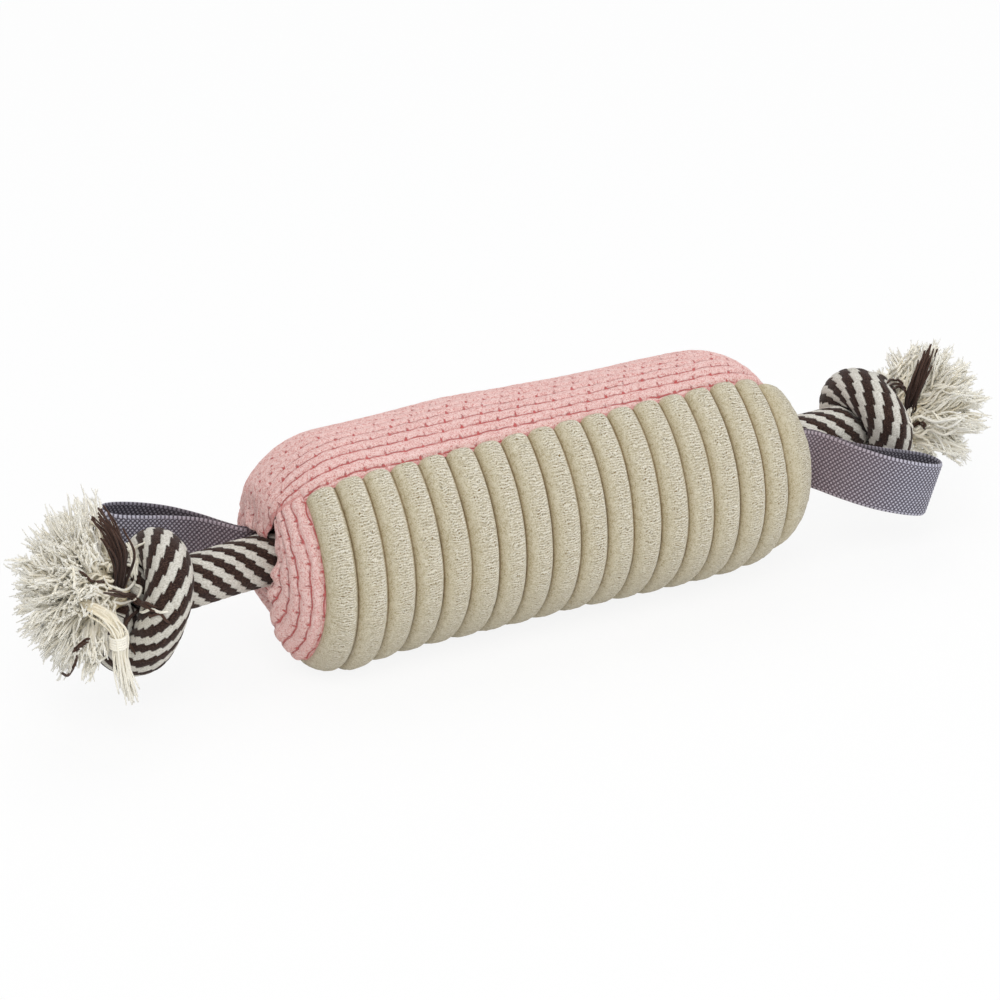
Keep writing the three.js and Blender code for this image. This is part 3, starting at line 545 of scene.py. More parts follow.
def corduroy_material():
    """Tufted wales: pale pink pile with rose specks, and thin rose lines of painted shade where the wales and
    tufts meet and along the seams.
    """
    made = Nodes("pink_corduroy", sheen=0.1, sheen_tint=linear(255, 225, 220), specular=0.1)
    wale = made.math("DIVIDE", made.value("across"), WALE_PITCH)
    line = made.math("FLOOR", made.math("ADD", wale, 0.5))
    stagger = made.part(made.times(line, WALE_SHIFT))
    place = made.sum((made.value("along"), 1 / TUFT_LENGTH), (stagger, 1.0))
    tuft, share = made.math("FLOOR", place), made.part(place)
    rest = made.math("SUBTRACT", 1.0, share)
    swell = made.part(made.sum((line, SWELL_SHIFT), (tuft, TUFT_SHIFT)))
    arc = made.times(share, rest, made.sum((swell, 4 * TUFT_SWELL), (1.0, 2 * TUFT_SWELL)))
    above = made.sum((wale, WALE_PITCH), (line, -WALE_PITCH), (arc, -1.0), (1.0, TUFT_SWELL / 2))
    # Patches where the painted shade in the grooves shows more or less strongly
    groove_shade_patches = made.step(made.grain(5, detail=1), 0.3, 0.55)
    groove = made.math("SUBTRACT", 1.0, made.step(made.math("ABSOLUTE", above), 0.1, 0.55))
    joint = made.times(made.math("MINIMUM", share, rest), TUFT_LENGTH)
    joint = made.sum((joint, 1.0), (made.grain(1.4, detail=2), 2.4), (1.0, -1.2))
    # Painted shade at the joints between tufts
    notch = made.step(made.sum((joint, 1.0), (made.math("MAXIMUM", above, 0.0), 0.55)), 1.25, 0.5)
    notch = made.times(notch, made.step(above, -0.4, 0.1))
    # Painted shade along the seams, in the gap between the panels
    seam = made.times(made.step(made.value("seam"), 0.5, 0.0), 0.45)
    cut = made.math("MAXIMUM", made.times(groove, made.sum((groove_shade_patches, 0.6), (1.0, 0.4))), notch)
    cut = made.math("MAXIMUM", cut, seam)
    clump, fine = made.grain(1.3, detail=3, distortion=0.4), made.grain(0.45, detail=2)
    pile = made.ramp(made.sum((clump, 0.35), (fine, 0.65)), [
        (0.39, (208, 138, 132)), (0.46, (229, 182, 176)), (0.53, (238, 203, 197)), (0.65, (245, 217, 212)),
    ])
    # Rose painted shade in the grooves, at the tuft joints and along the seams
    made.colour(made.mix(made.times(cut, 0.85), pile, linear(190, 72, 72)))
    made.bump(made.sum((clump, 0.5), (fine, 0.3), (cut, -0.8)), 0.9, 0.8)
    return made.material


def braid_material():
    """Cotton yarns in two colours, with fine plies and painted shade in the grooves between them."""
    made = Nodes("braided_rope", sheen=0.1, specular=0.12)
    ply = made.grain(0.4, detail=3, stretch=(2.5, 1, 1))
    dark = made.ramp(ply, [(0.3, (28, 17, 14)), (0.52, (54, 36, 30)), (0.72, (92, 71, 60))])
    light = made.ramp(ply, [(0.28, (174, 167, 153)), (0.48, (212, 208, 198)), (0.7, (232, 229, 221))])
    colour = made.mix(made.step(made.value("shade"), 0.35, 0.65), dark, light)
    # Painted shade in the grooves between the braid's yarns, from the relief's depth
    groove = made.ramp(made.value("depth"), [(0.0, (120, 110, 102)), (0.55, (255, 255, 255))])
    made.colour(made.mix(1.0, colour, groove, "MULTIPLY"))
    made.bump(ply, 0.35, 0.8)
    return made.material


def strand_material(name, *stops):
    """Loosened cotton, darkened deep in the bunch as painted shade and lighter towards the colour of its
    tips.
    """
    made = Nodes(name, sheen=0.1, specular=0.1)
    ply = made.grain(0.6, detail=2)
    along = made.sum((made.value("depth"), 1.0), (ply, 0.35), (1.0, -0.175))
    made.colour(made.ramp(along, stops))
    made.bump(ply, 0.3, 0.5)
    return made.material


def webbing_material():
    """Woven tape: light floats in slanting rows and dotted edges over a darker ground, which is browner
    near the seam. Its inner face is painted darker as shade."""
    made = Nodes("webbing", roughness=0.6, sheen=0.05, specular=0.3)
    out, run, across, inside = (made.value(name) for name in ("out", "run", "across", "inside"))
    row = made.math("DIVIDE", across, FLOAT_ROW)
    float_place = made.sum((run, 1 / FLOAT_LENGTH), (made.math("FLOOR", row), FLOAT_SHIFT))
    beside = made.from_middle(made.part(float_place), FLOAT_HALF)
    above = made.from_middle(made.part(row))
    far = made.sum((made.times(beside, beside), 1.0), (made.times(above, above), 1.0))
    dot = made.step(made.math("POWER", far, 0.5), *FLOAT_EDGE)
    edge_place = made.part(made.math("DIVIDE", run, SELVEDGE_DOT))
    edge_dot = made.step(made.from_middle(edge_place), *DOT_EDGE)
    half = WEBBING_WIDTH / 2
    at_edge = made.step(made.math("ABSOLUTE", across), half - SELVEDGE, half - 0.8 * SELVEDGE)
    inner = made.math("SUBTRACT", 1.0, at_edge)
    dot = made.sum((made.times(dot, inner), 1.0), (made.times(edge_dot, at_edge), 1.3))
    ply = made.grain(0.4, detail=2)
    ground = made.mix(out, linear(112, 96, 103), linear(104, 102, 115))
    ground = made.mix(made.step(ply, 0.6, 0.35), ground, linear(72, 65, 73))
    woven = made.mix(dot, ground, made.mix(out, linear(172, 158, 166), linear(196, 194, 208)))
    # Painted shade on the loop's inner face
    made.colour(made.mix(made.times(inside, 0.62), woven, linear(84, 74, 78), "MULTIPLY"))
    made.bump(made.sum((ply, 0.3), (dot, 0.7)), 0.3, 0.7)
    return made.material


def fibre_material():
    made = Nodes("filling", sheen=0.3, specular=0.1)
    wool = made.grain(2.2, detail=4, roughness=0.7)
    made.colour(made.ramp(wool, [(0.35, (214, 211, 203)), (0.65, (243, 241, 236))]))
    made.bump(wool, 1.5, 0.8)
    return made.material


def squeaker_material():
    made = Nodes("squeaker_plastic", roughness=0.42, specular=0.4)
    speck = made.grain(1.5, detail=3)
    made.colour(made.ramp(speck, [(0.4, (222, 222, 216)), (0.6, (234, 234, 230))]))
    made.bump(speck, 0.08, 0.4)
    return made.material


PLUSH = plush_material()
CORDUROY = corduroy_material()
BRAID = braid_material()
# Stops from painted shade deep in the bunch to the pale tips
COTTON = strand_material(
    "frayed_cotton",
    (0.0, (196, 174, 130)), (0.3, (232, 219, 190)), (0.6, (250, 243, 225)), (0.95, (254, 251, 242)),
)
DARK_YARN = strand_material("dark_yarn", (0.0, (32, 20, 17)), (0.5, (58, 40, 33)), (0.95, (92, 68, 57)))
WEBBING = webbing_material()
FIBRE = fibre_material()
SQUEAKER = squeaker_material()


# Body's outline

def end_curve(side, share):
    """A place on an end's curve: x and radius. Its share is 0 on the axis and 1 at the shoulder."""
    turn = share * math.pi / 2
    radius = BODY_RADIUS * np.sin(turn) ** (2 / END_POWER)
    drawn_in = DIMPLE_DEPTH * np.clip(1 - radius / DIMPLE_RADIUS, 0, 1) ** 1.3
    depth = LEFT_END_DEPTH if side < 0 else RIGHT_END_DEPTH
    shoulder = SHOULDER_LEFT if side < 0 else SHOULDER_RIGHT
    return shoulder + side * (depth * np.cos(turn) ** (2 / END_POWER) - drawn_in), radius


def body_stations(spacing):
    """Even places along the outline between the two rope holes: run, x, radius and the normal's parts."""
    hole = math.asin((ROPE_RADIUS / BODY_RADIUS) ** (END_POWER / 2)) / (math.pi / 2)
    left = np.stack(end_curve(-1, np.linspace(hole, 1, 400)), axis=1)
    right = np.stack(end_curve(1, np.linspace(1, hole, 400)), axis=1)
    outline = np.concatenate([left, right])
    run = run_along(outline)
    even = np.linspace(0, run[-1], int(run[-1] / spacing))
    x, radius = points_along(even, run, outline).T
    slope = np.stack([-np.gradient(radius), np.gradient(x)], axis=1)
    slope /= np.linalg.norm(slope, axis=1)[:, None]
    return np.stack([even, x, radius, slope[:, 0], slope[:, 1]])


def spread(stations, around):
    """The stations' values and the places around the body, all over the grid of both."""
    values = [value[:, None] + 0 * around for value in stations]
    return values + [around + 0 * values[0]]


def round_body(x, radius, out, up, angle, offset):
    """Points at an offset along the normal from a place on the outline."""
    far = radius + up * offset
    return np.stack([x + out * offset, -far * np.cos(angle), AXIS_HEIGHT + far * np.sin(angle)], axis=-1)


def lumps(x, angle):
    """The uneven swell of a stuffed body."""
    places = np.stack([x, BODY_RADIUS * np.cos(angle), BODY_RADIUS * np.sin(angle)], axis=-1)
    uneven = 0.8 * noise(places, 52, 11) + 0.35 * noise(places, 19, 12)
    degrees = np.degrees(np.mod(angle + math.pi, 2 * math.pi) - math.pi)
    for swell, start, stop, middle, width in END_SWELLS:
        uneven = uneven + swell * smooth_step(start, stop, x) * bell(degrees, middle, width)
    for swell, centre, reach, middle, width in SIDE_SWELLS:
        uneven = uneven + swell * bell(x, centre, reach) * bell(degrees, middle, width)
    return uneven


def top_seam(x):
    """The angle of the seam between the ribbed panel and the corduroy."""
    share = (x - PANEL_LEFT) / (PANEL_RIGHT - PANEL_LEFT)
    return np.radians(TOP_SEAM_DEG[0] + (TOP_SEAM_DEG[1] - TOP_SEAM_DEG[0]) * share)


def resting(points):
    """Fabric that would reach below the ground lies flat on it."""
    points[..., 2] = np.maximum(points[..., 2], 0.05)
    return points


# Ribbed panel

def ribbed_panel():
    stations = body_stations(PLUSH_GRID)
    kept = (stations[1] > PANEL_LEFT) & (stations[1] < PANEL_RIGHT + LAST_RIB_TURN)
    around = BODY_RADIUS * (top_seam(0) - math.radians(BOTTOM_SEAM_DEG))
    column = np.linspace(0, 1, int(around / PLUSH_GRID))
    _, x, radius, out, up, column = spread(stations[:, kept], column)
    last = PANEL_RIGHT - RIB_PITCH
    inside = np.sin(math.pi * np.clip((x - PANEL_LEFT) / (last - PANEL_LEFT), 0, 1))
    sway = RIB_SWAY * noise(np.stack([x, 40 * column, 0 * x], axis=-1), (20, 9, 9), 21)
    turned = RIB_COUNT - 1 + (x - last) / (RIB_PITCH + LAST_RIB_TURN)
    rib = np.where(x < last, (x + sway * inside - PANEL_LEFT) / RIB_PITCH, turned).clip(0, RIB_COUNT)
    form = (1 - np.abs(2 * (rib % 1) - 1) ** 2.8) ** 0.62
    low = math.radians(BOTTOM_SEAM_DEG)
    high = top_seam(x) + SCALLOP * (form - 0.5) / BODY_RADIUS
    angle = low + (high - low) * column
    to_edge = np.minimum(high - angle, angle - low) * BODY_RADIUS
    rounded = np.sqrt(1 - (1 - np.clip(to_edge / EDGE_ROUND, 0, 1)) ** 2)
    places = round_body(x, radius, out, up, angle, 0)
    clump = noise(places, (1.5, 2.2, 2.2), 22) + 0.5 * noise(places, 3.6, 23)
    height = (RIB_HEIGHT + RIB_VALLEY) * form * rounded - RIB_VALLEY
    height += lumps(x, angle) + 0.2 * clump * rounded * form
    points = tucked(resting(round_body(x, radius, out, up, angle, height)))
    rib, along = (np.pad(value, 1, mode="edge") for value in (rib, BODY_RADIUS * angle))
    faces = grid_faces(*rib.shape)
    made = make_mesh("cream_front_panel_cover", points.reshape(-1, 3), faces, PLUSH, rib=rib, along=along)
    return finish_piece(made, "cream_plush", "body", "cream_front_panel", fill=0.85)


def tucked(points):
    """Turns a patch's four edges in towards the body's axis, so that it has no bare edge."""
    def inward(row):
        to_axis = row * (0, 1, 1) - (0, 0, AXIS_HEIGHT)
        return row - TUCK * to_axis / np.linalg.norm(to_axis, axis=-1)[..., None]
    points = np.concatenate([inward(points[:1]), points, inward(points[-1:])])
    return np.concatenate([inward(points[:, :1]), points, inward(points[:, -1:])], axis=1)


# Corduroy

def wale_form(across, along):
    """A wale's height from 0 in the groove beside it to 1, with a notch at each joint between tufts."""
    line = np.floor(across / WALE_PITCH + 0.5)
    place = along / TUFT_LENGTH + (line * WALE_SHIFT) % 1
    tuft, share = np.floor(place), place % 1
    swell = (line * SWELL_SHIFT + tuft * TUFT_SHIFT) % 1
    arc = share * (1 - share) * TUFT_SWELL * (4 * swell + 2)
    above = across - line * WALE_PITCH - arc + TUFT_SWELL / 2
    at_joint = bell(np.minimum(share, 1 - share) * TUFT_LENGTH, 0, 0.9)
    notch = at_joint * smooth_step(3.2, 0.6, above) * (above > 0)
    return smooth_step(0.05, 1.5, np.abs(above)) * (1 - 0.55 * notch)


def above_end_seam(side, y, z):
    """How far a place on an end is above the seam from the panel's corner past the rope to the back."""
    corner = float(top_seam(PANEL_LEFT if side < 0 else PANEL_RIGHT))
    ahead = np.array([-math.cos(corner), math.sin(corner)]) * 1.6 * BODY_RADIUS
    middle = np.array([0, END_SEAM_ABOVE_ROPE])
    behind = np.array([1.2 * BODY_RADIUS, END_SEAM_AT_BACK])
    distances, over = [], []
    for a, b in ((ahead, middle), (middle, behind)):
        run = b - a
        place = np.stack([y, z], axis=-1)
        share = np.clip((place - a) @ run / (run @ run), 0, 1)
        gap = place - a - share[..., None] * run
        distances.append(np.linalg.norm(gap, axis=-1))
        over.append(run[0] * gap[..., 1] - run[1] * gap[..., 0])
    first = distances[0] <= distances[1]
    distance = np.where(first, distances[0], distances[1])
    return np.where(np.where(first, over[0], over[1]) > 0, distance, -distance)


def end_form(side, y, z, radius, angle, flap):
    """The gathers round the rope, the top panel's overhang, and the fold of the flap in front of the rope."""
    form = GATHER_HEIGHT * bell(radius, 17, 7) * np.sin(GATHER_COUNT * angle + 1.3 * np.sin(2 * angle))
    if flap:
        beside_hole = smooth_step(-44, -26, z) * smooth_step(10, 19, radius)
        form = form + LIP_HEIGHT * (bell(y, -16, 7) * smooth_step(14, 0, z) * beside_hole)
        form = form - FOLD_DEPTH * bell(y, 4, 11) * smooth_step(0, -12, z)
    else:
        form = form + ROOF_SWELL * (side < 0) * bell(radius, 25, 10) * smooth_step(14, 28, z)
        form = form + ROOF_HANG * (side < 0) * bell(radius, 13, 8) * smooth_step(4, 13, z)
    return form * smooth_step(0.99, 0.9, radius / BODY_RADIUS)


def corduroy(name, rows, angles, flap):
    """One patch of corduroy over some of the body's stations. The wales of the top run along the toy and over
    its ends, and a flap's run round its end."""
    stations = body_stations(CORDUROY_GRID)
    edges = np.interp((PANEL_LEFT, PANEL_RIGHT), stations[1, 1:-1], stations[0, 1:-1])
    run, x, radius, out, up, angle = spread(stations[:, rows(stations[1])], angles)
    y, z = -radius * np.cos(angle), radius * np.sin(angle)
    seam = np.where(x < 0, above_end_seam(-1, y, z), above_end_seam(1, y, z))
    beyond = np.where(x < 0, edges[0] - run, run - edges[1])
    if flap:
        across, along = beyond, 0.7 * BODY_RADIUS * angle
        gap = np.minimum(-seam, beyond)
    else:
        from_top = angle - math.pi / 2
        drawn = radius / (radius + WALE_DRAWING * (BODY_RADIUS - radius))
        drawn = drawn + (1 - drawn) * smooth_step(math.radians(35), math.radians(90), from_top)
        across, along = BODY_RADIUS * from_top * drawn, run
        beside = np.minimum(angle - top_seam(x), math.radians(360 + BOTTOM_SEAM_DEG) - angle)
        gap = np.where(beyond > 0, seam, np.minimum(BODY_RADIUS * beside, np.maximum(-beyond, seam)))
    places = round_body(x, radius, out, up, angle, 0)
    across = across + (0.5 + 0.5 * smooth_step(90, 120, np.abs(x))) * noise(places, 9, 34)
    nap = noise(places, 1.5, 35)
    sewn = bell(np.clip(gap, 0, 20), 0, 1.3)
    form = wale_form(across, along) * (1 - 0.7 * sewn)
    height = COVER_PROUD + WALE_HEIGHT * form + lumps(x, angle) + 0.12 * nap
    height = height - SEAM_SUNK * sewn + 0.5 * np.minimum(gap, 0)
    height = height + end_form(np.where(x < 0, -1, 1), y, z, radius, angle, flap)
    height = height - RIGHT_END_SUNK * smooth_step(PANEL_RIGHT - RIB_PITCH, PANEL_RIGHT + 2, x)
    points = resting(round_body(x, radius, out, up, angle, height))
    faces = grid_faces(*x.shape)
    faces = faces[(gap > -UNDERLAP).ravel()[faces].sum(axis=1) >= 3]
    used = np.unique(faces)
    place_of = np.zeros(x.size, int)
    place_of[used] = np.arange(len(used))
    values = {"across": across, "along": along, "seam": gap}
    values = {key: value.ravel()[used] for key, value in values.items()}
    return make_mesh(name, points.reshape(-1, 3)[used], place_of[faces], CORDUROY, **values)


def corduroy_pieces():
    step = 2 * math.pi / int(2 * math.pi * BODY_RADIUS / CORDUROY_GRID)
    top_angles = np.arange(math.radians(52), math.radians(364 + BOTTOM_SEAM_DEG), step)
    flap_angles = np.arange(math.radians(100), math.radians(460), step)
    for node, angles, fill, rows in (
        ("pink_top_panel", top_angles, 0.85, lambda x: np.isfinite(x)),
        ("left_end_flap", flap_angles, 0.7, lambda x: x < PANEL_LEFT + UNDERLAP),
        ("right_end_flap", flap_angles, 0.7, lambda x: x > PANEL_RIGHT - UNDERLAP),
    ):
        cover = corduroy(f"{node}_cover", rows, angles, "flap" in node)
        finish_piece(cover, "pink_corduroy", "body", node, fill=fill)


# Rope and knots

def end_x(side):
    return SHOULDER_LEFT - LEFT_END_DEPTH if side < 0 else SHOULDER_RIGHT + RIGHT_END_DEPTH


def bend_place(end):
    return np.array([end_x(end["side"]) + end["side"] * BEND_BEYOND_END, 0, AXIS_HEIGHT])


def rope_to_toy(end, points):
    """Points measured from the rope's bend along the rope, as the toy has them."""
    return turned_about(turned_about(points, "Y", end["tilt_deg"]), "Z", REST_YAW_DEG) + bend_place(end)


def knot_points(end):
    route = turned_about(np.array(KNOT_ROUTE_SHARES) * KNOT_PITCH, "X", end["knot_turn_deg"])
    route[:, 0] = end["side"] * (end["knot_distance"] + route[:, 0])
    return route


def rope_rings(path, radii):
    """Rings of points round a path with the braid in relief, and each point's depth and shade, 0 for dark.
    The bands wind right-handed, in blocks that end on lines of the other hand, a step apart."""
    _, normals, binormals = path_frames(path)
    turn = np.arange(0, 1, 1 / int(2 * math.pi * ROPE_RADIUS / ROPE_GRID))[None]
    run = np.arange(len(path))[:, None] * np.linalg.norm(path[1] - path[0])
    in_block = (run / BRAID_BLOCK + BRAID_BANDS * turn / 2) % 1
    band = BRAID_BANDS * (turn - run / BRAID_TURN) + BRAID_STEP * (in_block - 0.5)
    across = 1 - np.abs(2 * (band % 1) - 1) ** 4
    relief = across * (1 - 0.45 * np.abs(2 * in_block - 1) ** 6)
    far = (radii[:, None] + BRAID_RELIEF * relief)[..., None]
    angle = 2 * math.pi * turn[..., None]
    rings = path[:, None] + far * (np.cos(angle) * normals[:, None] + np.sin(angle) * binormals[:, None])
    return rings, relief, np.floor(band) % 2


def pressed_turns(path, rings, halfway):
    """Flattens the rope where turns of the knot lie against each other, about halfway between them."""
    spacing = np.linalg.norm(path[1] - path[0])
    order = np.arange(len(path))
    pressed = rings.copy()
    for i in range(len(path)):
        apart = np.abs(order - i) * spacing > 1.9 * KNOT_PITCH
        others = path[apart & (np.linalg.norm(path - path[i], axis=1) < 3 * KNOT_RADIUS)]
        if len(others):
            gap = others - path[i]
            distance = np.linalg.norm(gap, axis=1)
            reach = (rings[i] - path[i]) @ (gap / distance[:, None]).T / (halfway[i] * distance)
            pressed[i] = path[i] + (rings[i] - path[i]) / np.maximum(reach.max(axis=1), 1)[:, None]
    return pressed


def rope_piece(name, rings, depth, shade):
    """A braided tube that is drawn together at its far end."""
    middle = rings[-1:].mean(axis=1, keepdims=True)
    rings = np.concatenate([rings, middle + 0.03 * (rings[-1:] - middle)])
    depth, shade = (np.concatenate([value, value[-1:]]) for value in (depth, shade))
    faces = grid_faces(*depth.shape, closed=True)
    return make_mesh(name, rings.reshape(-1, 3), faces, BRAID, depth=depth, shade=shade)


def rope_end(name, end):
    """The rope from inside the body out through its bend, where its two pieces meet, and into the knot."""
    side, bend_at = end["side"], bend_place(end)
    inside = np.array([(-side * back, 0, 0) for back in (26, 18, 12)]) + bend_at
    knot = rope_to_toy(end, knot_points(end))
    outside = rope_to_toy(end, [(side * 9, 0, 0), (side * 17, 0, 0)])
    path = smooth_path(np.concatenate([inside, outside, knot]), ROPE_GRID)
    run = np.arange(len(path)) * np.linalg.norm(path[1] - path[0])
    bend = int(np.argmin(np.linalg.norm(path - bend_at, axis=1)))
    into_knot = run[int(np.argmin(np.linalg.norm(path - knot[1], axis=1)))]
    radii = ROPE_RADIUS + (KNOT_RADIUS - ROPE_RADIUS) * smooth_step(into_knot - 8, into_knot + 20, run)
    rings, depth, shade = rope_rings(path, radii)
    rings = pressed_turns(path, rings, 0.49 - 0.08 * bell(run, into_knot + 10, 12))
    root = rope_piece(f"{name}_rope_at_seam", rings[:bend + 1], depth[:bend + 1], shade[:bend + 1])
    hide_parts(f"{name}_rope_bend")
    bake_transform(root)
    made = rope_piece(f"{name}_rope_and_knot", rings[bend:], depth[bend:], shade[bend:])
    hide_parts(f"{name}_rope_neck", f"{name}_knot")
    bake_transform(made)
    return made


# Webbing

def loop_to_toy(end, points):
    side = end["side"]
    pivot_x = end_x(side) + side * LOOP_PIVOT_BEYOND_END
    points = turned_about(np.asarray(points, float) * (side, -side, 1), "Y", end["droop_deg"])
    return points + (pivot_x, -side * LOOP_BESIDE_AXIS, AXIS_HEIGHT - end["loop_below"])


def weave(run, across):
    """Floats in slanting rows, and a row of dots along each edge, from 0 to 1."""
    row = across / FLOAT_ROW
    beside = ((run / FLOAT_LENGTH + np.floor(row) * FLOAT_SHIFT) % 1 * 2 - 1) * FLOAT_HALF
    floats = smooth_step(*FLOAT_EDGE, np.hypot(beside, row % 1 * 2 - 1))
    at_edge = WEBBING_WIDTH / 2 - np.abs(across) < SELVEDGE
    return np.where(at_edge, smooth_step(*DOT_EDGE, np.abs(run / SELVEDGE_DOT % 1 * 2 - 1)), floats)


def webbing_loop(name, end):
    half = (WEBBING_THICKNESS + 0.3) / 2
    plan = [(-TAB_LENGTH, -half), (-TAB_LENGTH / 2, -half), (1, -half)]
    plan += [(out * LOOP_LENGTH, aside * LOOP_BOW) for out, aside in LOOP_ROUTE_SHARES]
    plan += [(1, half), (-TAB_LENGTH / 2, half), (-TAB_LENGTH, half)]
    route = smooth_path([(x, y, 0) for x, y in plan], WEBBING_GRID)
    tangents = np.gradient(route, axis=0)
    facing = np.cross(tangents / np.linalg.norm(tangents, axis=1)[:, None], (0, 0, 1))
    across = np.linspace(-WEBBING_WIDTH / 2, WEBBING_WIDTH / 2, int(WEBBING_WIDTH / WEBBING_GRID))[None]
    run = np.arange(len(route))[:, None] * WEBBING_GRID
    edge = smooth_step(0, 1.2, WEBBING_WIDTH / 2 - np.abs(across))
    sheets = []
    for face in (1, -1):
        lift = face * (WEBBING_THICKNESS / 2 * (0.45 + 0.55 * edge) - 0.2 + 0.2 * weave(run, across))
        sheet = route[:, None] + across[..., None] * (0, 0, 1) + lift[..., None] * facing[:, None]
        sheets.append(sheet[:, ::face])
    rings = np.concatenate(sheets, axis=1)
    across = np.concatenate([across, across[:, ::-1]], axis=1) + 0 * run
    out = smooth_step(0.1, 0.8, route[:, :1] / LOOP_LENGTH) + 0 * across
    points = loop_to_toy(end, rings.reshape(-1, 3))
    around = across.shape[1]
    corner = np.arange(around // 2 - 1)
    cap = np.stack([corner + 1, corner, around - 1 - corner, around - 2 - corner], axis=1)
    last = cap[:, ::-1] + (len(route) - 1) * around
    faces = np.concatenate([grid_faces(*across.shape, closed=True), cap, last])
    run = run + 0 * across
    # Marks the inner face, which the material darkens as painted shade
    inside = (np.arange(around) >= around // 2) + 0 * across
    made = make_mesh(
        f"{name}_webbing_strap", points, faces, WEBBING, run=run, across=across, out=out, inside=inside,
    )
    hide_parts(f"{name}_webbing_loop", f"{name}_webbing_tab")
    start, stop = loop_to_toy(end, [(-3, 0, 0), (4, 0, 0)]) * MM
    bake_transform(made)
    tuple(start)
    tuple(stop)
    return made


# Strands

def strand_mesh(name, paths, radii, material, depth, sides=4):
    """Thin closed tubes along many paths with as many points each, in one mesh."""
    count, steps, _ = paths.shape
    tangents = np.gradient(paths, axis=1)
    tangents /= np.maximum(np.linalg.norm(tangents, axis=2), 1e-9)[..., None]
    normals = np.cross(tangents, np.random.default_rng(count).normal(size=(count, 1, 3)))
    normals /= np.maximum(np.linalg.norm(normals, axis=2), 1e-9)[..., None]
    binormals = np.cross(tangents, normals)
    angle = 2 * math.pi * np.arange(sides)[:, None] / sides
    round_path = np.cos(angle) * normals[:, :, None] + np.sin(angle) * binormals[:, :, None]
    rings = paths[:, :, None] + radii[:, :, None, None] * round_path
    one = grid_faces(steps, sides, closed=True)
    one = np.concatenate([one[:, [0, 1, 2]], one[:, [0, 2, 3]]])
    last = (steps - 1) * sides
    caps = [(0, k + 1, k) for k in range(1, sides - 1)]
    caps += [(last, last + k, last + k + 1) for k in range(1, sides - 1)]
    one = np.concatenate([one, caps])
    faces = (one[None] + (np.arange(count) * steps * sides)[:, None, None]).reshape(-1, 3)
    return make_mesh(name, rings.reshape(-1, 3), faces, material, depth=np.repeat(depth.reshape(-1), sides))


def tassel_to_toy(end, points):
    """Points measured from the tassel's base along its axis, as the toy has them."""
    base = knot_points(end)[-1] + (-end["side"] * TASSEL_OVER_TAIL, 0, end["tassel_rise"])
    return rope_to_toy(end, turned_about(points, "Y", -end["side"] * end["tassel_lean_deg"]) + base)


def tassel(name, end, seed):
    """Loosened yarns that fan out from the rope's end in pointed wavy locks, least over the side of the knot
    that is seen, and frayed at their cut ends."""
    random = np.random.default_rng(seed)
    side, radius, length, count = end["side"], end["tassel_radius"], end["tassel_length"], end["strand_count"]
    locks = end["lock_count"]
    turns = np.arange(locks) * math.pi * (3 - 5 ** 0.5) + random.normal(0, 0.2, locks)
    toward_knot = np.cos(turns - math.radians(end["clear_turn_deg"])).clip(0, 1)
    widest = np.radians(TASSEL_OPEN_DEG + (end["clear_lean_deg"] - TASSEL_OPEN_DEG) * toward_knot)
    leans = np.arccos(1 - (np.arange(locks) + 0.5) / locks * (1 - np.cos(widest)))
    lock = random.integers(0, locks, count)
    turn = turns[lock] + random.normal(0, 0.05, count)
    lean = leans[lock] + random.normal(0, 0.04, count)
    reach = (1 + random.normal(0, 0.05, locks))[lock] * (1 + random.normal(0, 0.06, count))
    axis = np.array([1.0, 0, 0])
    aside = np.stack([np.zeros(count), np.cos(turn), np.sin(turn)], axis=1)
    tip = (length * np.cos(lean) * reach)[:, None] * axis + (radius * np.sin(lean) * reach)[:, None] * aside
    rooted = YARN_ROOT_SPREAD * np.sqrt(np.sin(lean).clip(0, 1)) * random.uniform(0.3, 1, count)
    base = aside * rooted[:, None] - axis * YARN_ROOT_DEPTH
    leave = base + axis * (length * 0.62 * np.cos(lean).clip(0.25, 1))[:, None]
    share = np.linspace(0, 1, YARN_STEPS)[None, :, None]
    toward = 2 * share * (1 - share) * leave[:, None]
    paths = (1 - share) ** 2 * base[:, None] + toward + share ** 2 * tip[:, None]
    lock_phase = random.uniform(0, 2 * math.pi, (locks, 1, 3))[lock]
    phase = lock_phase + random.normal(0, 0.5, (count, 1, 3))
    waves = np.sin(phase + share * random.uniform(*YARN_WAVE_RADIANS, (count, 1, 1)))
    waves = random.uniform(*YARN_WAVE_HEIGHTS, (count, 1, 1)) * waves
    paths = paths + waves * np.sin(math.pi * share ** 0.8 * 0.72)
    spread_out = LOCK_SPREAD * (0.4 + np.sin(math.pi * share ** 0.8) - 0.1 * share)
    paths = paths + random.normal(0, 1, (count, 1, 3)) * spread_out
    share = share[..., 0]
    radii = random.uniform(*YARN_RADII, (count, 1)) * (1 + 0.16 * np.sin(share * 60 + phase[:, :, 0]))
    radii = radii * (1 - 0.4 * share ** 8)
    # Painted shade: strands are darker deep in the bunch, near their roots
    depth = share ** 0.6 * 0.9 + random.normal(0, 0.1, (count, 1))
    of = np.repeat(np.arange(count), 2)
    share = np.linspace(0, 1, FRAY_STEPS)[None, :, None]
    spread_out = random.normal(0, 0.7, (len(of), 1, 3)) * share ** 1.5
    along = (paths[of, -1] - paths[of, -3])[:, None] * random.uniform(0.35, 0.8, (len(of), 1, 1))
    frays = paths[of, -2][:, None] + along * share + spread_out
    every_fray = np.ones(frays.shape[:2])
    made = []
    for part, kept, thick, shade, sides in (
        ("strands", paths, radii, depth, 4),
        ("frays", frays, FRAY_RADIUS * every_fray, 0.95 * every_fray, 3),
    ):
        places = resting(tassel_to_toy(end, (kept * (side, 1, 1)).reshape(-1, 3)).reshape(kept.shape))
        made.append(strand_mesh(f"{name}_tassel_{part}", places, thick, COTTON, shade, sides))
        finish_piece(made[-1], "frayed_cotton", f"{name}_rope_end", f"{name}_tassel")
    return made[0]


